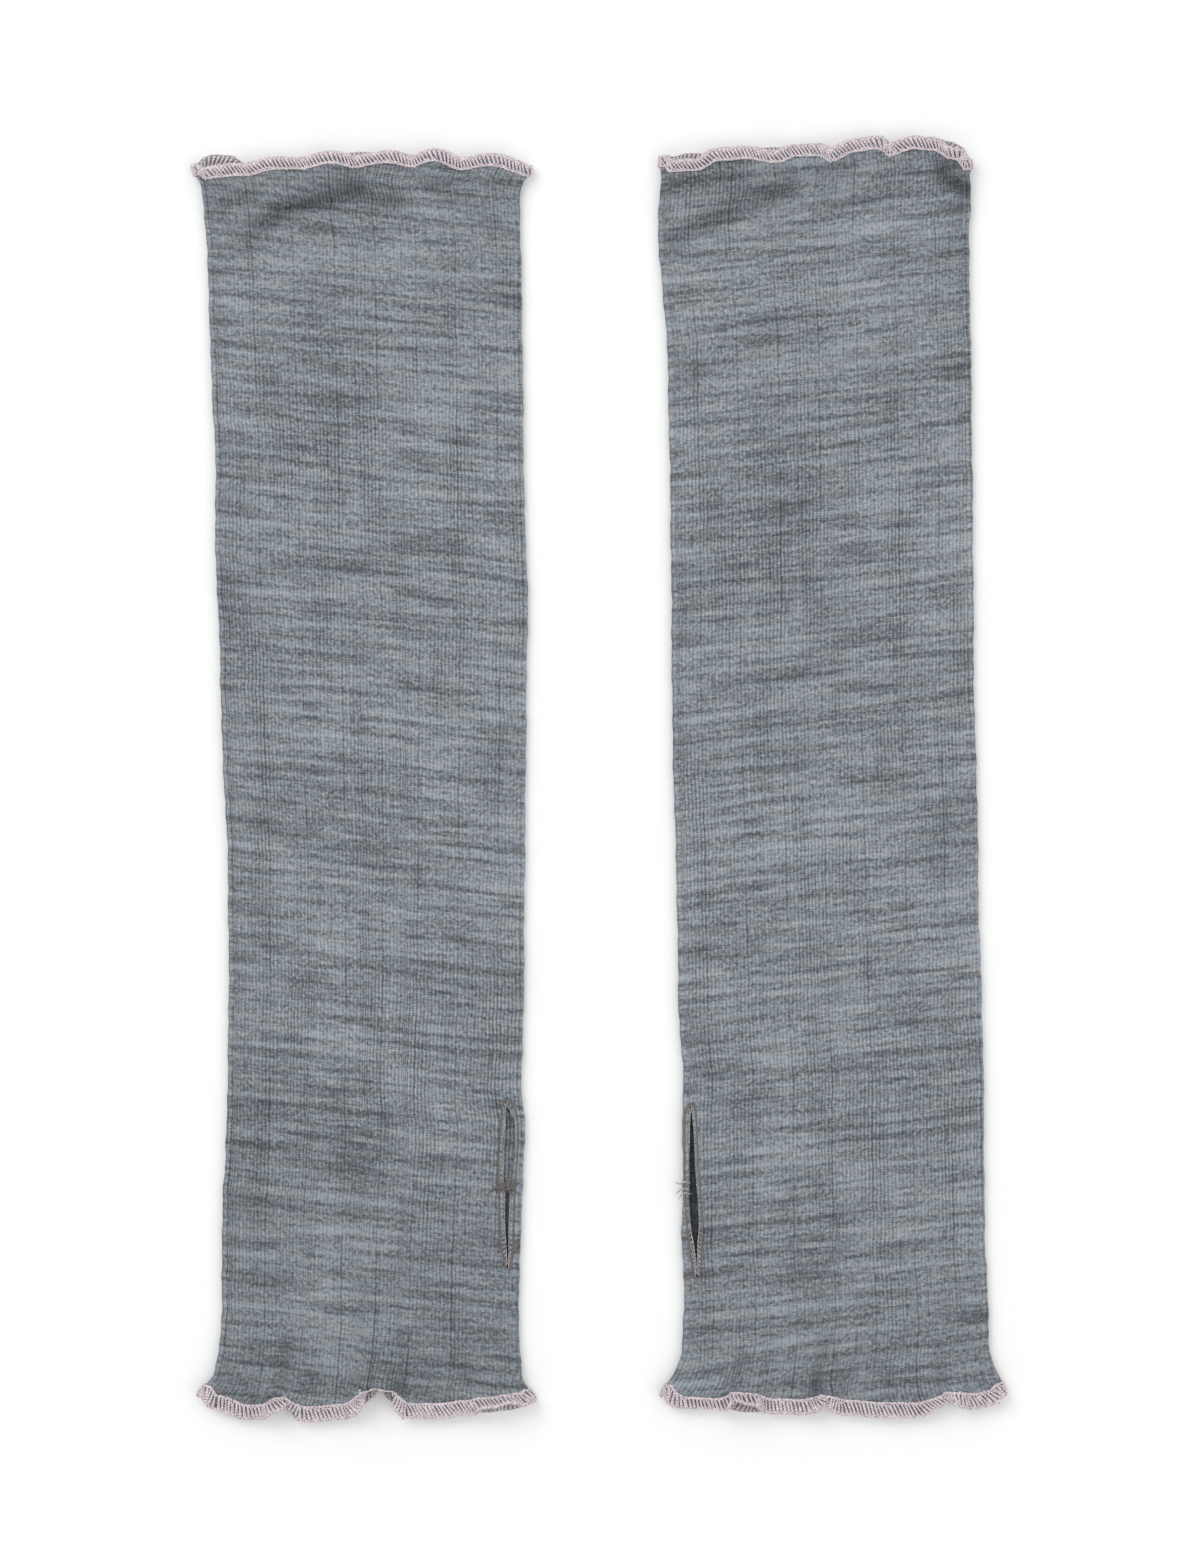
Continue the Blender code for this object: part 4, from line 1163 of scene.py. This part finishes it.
class KnitSettings(bpy.types.PropertyGroup):
    """Sizes and colours of the knitted cloth."""

    wale_pitch: Length(name="Wale pitch", description="Width of one column of stitches", default=1.18 * MM)
    course_pitch: Length(
        name="Course pitch", description="Height of one row of stitches", default=0.76 * MM
    )
    needle_every: FloatProperty(
        name="Needle lines", description="Wales between two faint needle lines", default=11.0
    )
    needle_shade: Share(name="Needle shade", description="How dark a needle line lies", default=0.2)
    streaks: FloatProperty(name="Streaks", description="Contrast of the long melange streaks", default=1.12)
    strokes: FloatProperty(
        name="Strokes", description="Contrast of the shorter melange strokes", default=0.5
    )
    flecks: FloatProperty(name="Flecks", description="Contrast of the short melange flecks", default=1.05)
    bands: FloatProperty(name="Bands", description="Contrast of the wide soft bands", default=0.5)
    columns: FloatProperty(name="Columns", description="Contrast between neighbouring wales", default=0.2)
    patches: FloatProperty(name="Patches", description="Contrast of the large soft patches", default=0.25)
    fold_puff: Length(
        name="Fold puff", description="Rise of the cloth beside a side fold", default=0.5 * MM
    )
    puff_reach: Length(name="Puff reach", description="How far in that rise dies away", default=5.0 * MM)
    wander: Length(name="Wander", description="How far the side folds wander", default=0.28 * MM)
    slack: Length(name="Slack", description="Height of the slow waves in loose cloth", default=0.14 * MM)
    crease_strength: FloatProperty(
        name="Crease strength", description="Depth of the creases, as a factor", default=1.5
    )
    # Painted shade laid on the cloth's colour in creases, broad shaded patches and the slit's hollow
    crease_shade: Share(
        name="Crease shade", description="How dark the cloth lies in a crease", default=0.26
    )
    # Painted shade laid on the cloth's colour towards its ends, where the rib fades
    end_shade: Share(
        name="End shade", description="How much darker the cloth lies towards its ends", default=0.2
    )
    sheen: Share(name="Sheen", description="Soft light on the fibres of the yarn", default=0.15)
    dark_yarn: Colour(
        name="Dark yarn", description="Darkest fibres of the melange", default=(0.112, 0.124, 0.139)
    )
    light_yarn: Colour(
        name="Light yarn", description="Lightest fibres of the melange", default=(0.462, 0.522, 0.588)
    )
    warm_yarn: Colour(
        name="Warm yarn", description="Light fibres with less blue in them", default=(0.485, 0.524, 0.555)
    )


class EdgingSettings(bpy.types.PropertyGroup):
    """Sizes and colours of the overlocked ends."""

    pitch: Length(name="Stitch pitch", description="Distance from one stitch to the next", default=1.2 * MM)
    radius: Length(name="Strand radius", description="Half the thread's thickness", default=0.31 * MM)
    slant: FloatProperty(
        name="Slant", description="How many stitches a thread leans over from tip to seam", default=1.6
    )
    looseness: Share(name="Looseness", description="How uneven the loops are", default=0.12)
    swell: FloatProperty(
        name="Swell", description="How much a strand thickens towards the tip", default=0.55
    )
    rim: FloatProperty(
        name="Rim weight", description="Thickness of the rim thread, as a factor", default=1.45
    )
    speckle: FloatProperty(name="Speckle", description="How finely the thread is mottled", default=700.0)
    seed: IntProperty(name="Seed", description="Choice of the uneven loops", default=7)
    # Painted highlight and shade of the plies: light on their crowns, dark in the grooves between them
    light: Colour(
        name="Light thread", description="Thread where it faces the light", default=(0.88, 0.8, 0.83)
    )
    dark: Colour(name="Dark thread", description="Thread between its plies", default=(0.35, 0.275, 0.31))


class SlitSettings(bpy.types.PropertyGroup):
    """Sizes and colours of the thumb slit's edging."""

    pitch: Length(name="Stitch pitch", description="Distance from one stitch to the next", default=1.5 * MM)
    radius: Length(name="Strand radius", description="Half the thread's thickness", default=0.2 * MM)
    slant: FloatProperty(
        name="Slant", description="How many stitches a thread leans over from tip to seam", default=0.3
    )
    slit_lift: Length(
        name="Lift", description="How far the cut edge stands above the cloth", default=0.1 * MM
    )
    looseness: Share(name="Looseness", description="How uneven the loops are", default=0.2)
    speckle: FloatProperty(name="Speckle", description="How finely the thread is mottled", default=1300.0)
    seed: IntProperty(name="Seed", description="Choice of the uneven loops", default=23)
    # Painted highlight and shade of the plies: light on their crowns, dark in the grooves between them
    light: Colour(
        name="Light thread", description="Thread where it faces the light", default=(0.68, 0.68, 0.69)
    )
    dark: Colour(name="Dark thread", description="Thread between its plies", default=(0.07, 0.07, 0.075))
    seam: Colour(name="Seam thread", description="Thread along the seam", default=(0.155, 0.132, 0.123))
    seam_weight: FloatProperty(
        name="Seam weight", description="Thickness of the seam thread, as a factor", default=1.45
    )


class StageSettings(bpy.types.PropertyGroup):
    """The floor, the light and the camera."""

    floor_size: Length(name="Floor size", description="Side of the square floor", default=6.0)
    floor_colour: Colour(name="Floor colour", description="Colour of the floor", default=(0.95, 0.95, 0.95))
    lens: Length(name="Lens", description="Focal length of the camera", default=0.1)
    key_power: FloatProperty(
        name="Main lamp", description="Power of the large lamp above", default=11.6, unit="POWER"
    )
    fill_power: FloatProperty(
        name="Second lamp", description="Power of the lamp on the other side", default=5.3, unit="POWER"
    )
    sky: FloatProperty(name="Room light", description="Even light from all round", default=0.78)


class WRISTWARMERS_OT_knit(bpy.types.Operator):
    """Knit both tubes, with their thumb slits, frills and creases"""

    bl_idname = "wristwarmers.knit"
    bl_label = "Knitted tubes"

    def execute(self, context):
        settings = context.scene.wristwarmers_knit
        material = knit_material(settings)
        for warmer in (LEFT, RIGHT):
            piece = new_piece(f"{warmer.name}_knit", knit_tube(warmer, settings), material)
            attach(piece, BODY)
            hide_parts(f"{warmer.name}_tube_upper", f"{warmer.name}_tube_under")
        return {"FINISHED"}


class WRISTWARMERS_OT_ends(bpy.types.Operator):
    """Overlock the frilled ends of both tubes"""

    bl_idname = "wristwarmers.ends"
    bl_label = "Overlocked ends"

    def execute(self, context):
        knit, settings = context.scene.wristwarmers_knit, context.scene.wristwarmers_edging
        material = thread_material("pale pink overlock thread", settings)
        tree = edging_tree(strand_tree())
        for number, warmer in enumerate((LEFT, RIGHT)):
            grid = tube_grid(warmer, knit)[0]
            for end, lean in (("arm", 1), ("hand", -1)):
                edge, out, up, curl, width = mouth(warmer, end, grid)
                seam = seam_line(edge, out, curl)
                name = f"{warmer.name}_{end}_overlock"
                guide = guide_loop(name, seam, out, up, curl, width - settings.radius)
                piece = grown(guide, tree, {
                    "Pitch": settings.pitch,
                    "Strand Radius": settings.radius,
                    "Slant": settings.slant * lean,
                    "Core": WALL / 2,
                    "Looseness": settings.looseness,
                    "Rim Weight": settings.rim,
                    "Tip Swell": settings.swell,
                    "Seed": settings.seed + 10 * number + 5 * (end == "hand"),
                }, material)
                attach(piece, BODY)
                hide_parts(f"{warmer.name}_{end}_edging_upper", f"{warmer.name}_{end}_edging_under")
        return {"FINISHED"}


class WRISTWARMERS_OT_slits(bpy.types.Operator):
    """Overlock both thumb slits and leave their thread ends"""

    bl_idname = "wristwarmers.slits"
    bl_label = "Thumb slits"

    def execute(self, context):
        settings = context.scene.wristwarmers_slit
        material = thread_material("taupe overlock thread", settings, settings.seam)
        tree = bpy.data.node_groups.get("overlocked edge") or edging_tree(strand_tree())
        for number, warmer in enumerate((LEFT, RIGHT)):
            points, out, up, curl, width = slit_guide(warmer, settings)
            width = np.maximum(width - settings.radius, SLIT_LEAST_BAND)
            guide = guide_loop(f"{warmer.name}_thumb_overlock", points, out, up, curl, width)
            piece = grown(guide, tree, {
                "Pitch": settings.pitch,
                "Strand Radius": settings.radius,
                "Slant": settings.slant,
                "Core": WALL / 2,
                "Looseness": settings.looseness,
                "Rim Weight": SLIT_RIM_WEIGHT,
                "Seam Weight": settings.seam_weight,
                "Seed": settings.seed + 10 * number,
            }, material)
            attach(piece, BODY)
            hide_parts(f"{warmer.name}_thumb_edging")
            name = f"{warmer.name}_thread_tails"
            tails = new_piece(name, tails_mesh(name, warmer.tails), material)
            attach(tails, BODY)
        return {"FINISHED"}


class WRISTWARMERS_OT_stage(bpy.types.Operator):
    """Lay the floor, light it and place the camera straight above"""

    bl_idname = "wristwarmers.stage"
    bl_label = "Floor, light and camera"

    def execute(self, context):
        settings, scene = context.scene.wristwarmers_stage, context.scene
        half = settings.floor_size / 2
        mesh = bpy.data.meshes.new("floor")
        corners = [(-half, -half, 0.0), (half, -half, 0.0), (half, half, 0.0), (-half, half, 0.0)]
        mesh.from_pydata(corners, [], [(0, 1, 2, 3)])
        new_piece("floor", mesh, floor_material(settings.floor_colour))
        soft_lamp("main_lamp", MAIN_LAMP_PLACE, MAIN_LAMP_SIZE, settings.key_power)
        soft_lamp("second_lamp", SECOND_LAMP_PLACE, SECOND_LAMP_SIZE, settings.fill_power)
        world = bpy.data.worlds.new("room")
        world.use_nodes = True
        sky = world.node_tree.nodes["Background"].inputs
        sky["Color"].default_value = (1.0, 1.0, 1.0, 1.0)
        sky["Strength"].default_value = settings.sky
        scene.world = world
        scene.view_settings.view_transform = "Standard"
        data = bpy.data.cameras.new("camera")
        data.type, data.lens = "PERSP", settings.lens / MM
        data.sensor_width = SENSOR_LONG_SIDE / MM
        camera = bpy.data.objects.new("camera", data)
        long_side = max(PHOTO_WIDTH, PHOTO_HEIGHT) * PIXEL
        camera.location = (*VIEW_CENTRE, WALL + LAYER_GAP + long_side * settings.lens / SENSOR_LONG_SIDE)
        scene.collection.objects.link(camera)
        scene.camera = camera
        return {"FINISHED"}


OPERATORS = (WRISTWARMERS_OT_knit, WRISTWARMERS_OT_ends, WRISTWARMERS_OT_slits, WRISTWARMERS_OT_stage)
SETTINGS = {
    "wristwarmers_knit": KnitSettings,
    "wristwarmers_edging": EdgingSettings,
    "wristwarmers_slit": SlitSettings,
    "wristwarmers_stage": StageSettings,
}


class WRISTWARMERS_PT_sidebar(bpy.types.Panel):
    """Lists the pieces and their sizes and colours"""

    bl_label = "Wrist warmers"
    bl_idname = "WRISTWARMERS_PT_sidebar"
    bl_space_type = "VIEW_3D"
    bl_region_type = "UI"
    bl_category = "Wrist warmers"

    def draw(self, context):
        for operator, name in zip(OPERATORS, SETTINGS):
            box = self.layout.box()
            box.operator(operator.bl_idname)
            group = getattr(context.scene, name)
            for prop in group.__annotations__:
                box.prop(group, prop)


CLASSES = (*SETTINGS.values(), *OPERATORS, WRISTWARMERS_PT_sidebar)


def register():
    for one in CLASSES:
        bpy.utils.register_class(one)
    for name, group in SETTINGS.items():
        setattr(bpy.types.Scene, name, PointerProperty(type=group))


def unregister():
    for name in SETTINGS:
        delattr(bpy.types.Scene, name)
    for one in reversed(CLASSES):
        bpy.utils.unregister_class(one)


def main():
    register()
    bpy.ops.wristwarmers.knit()
    bpy.ops.wristwarmers.ends()
    bpy.ops.wristwarmers.slits()
    bpy.ops.wristwarmers.stage()


if __name__ == "__main__":
    main()
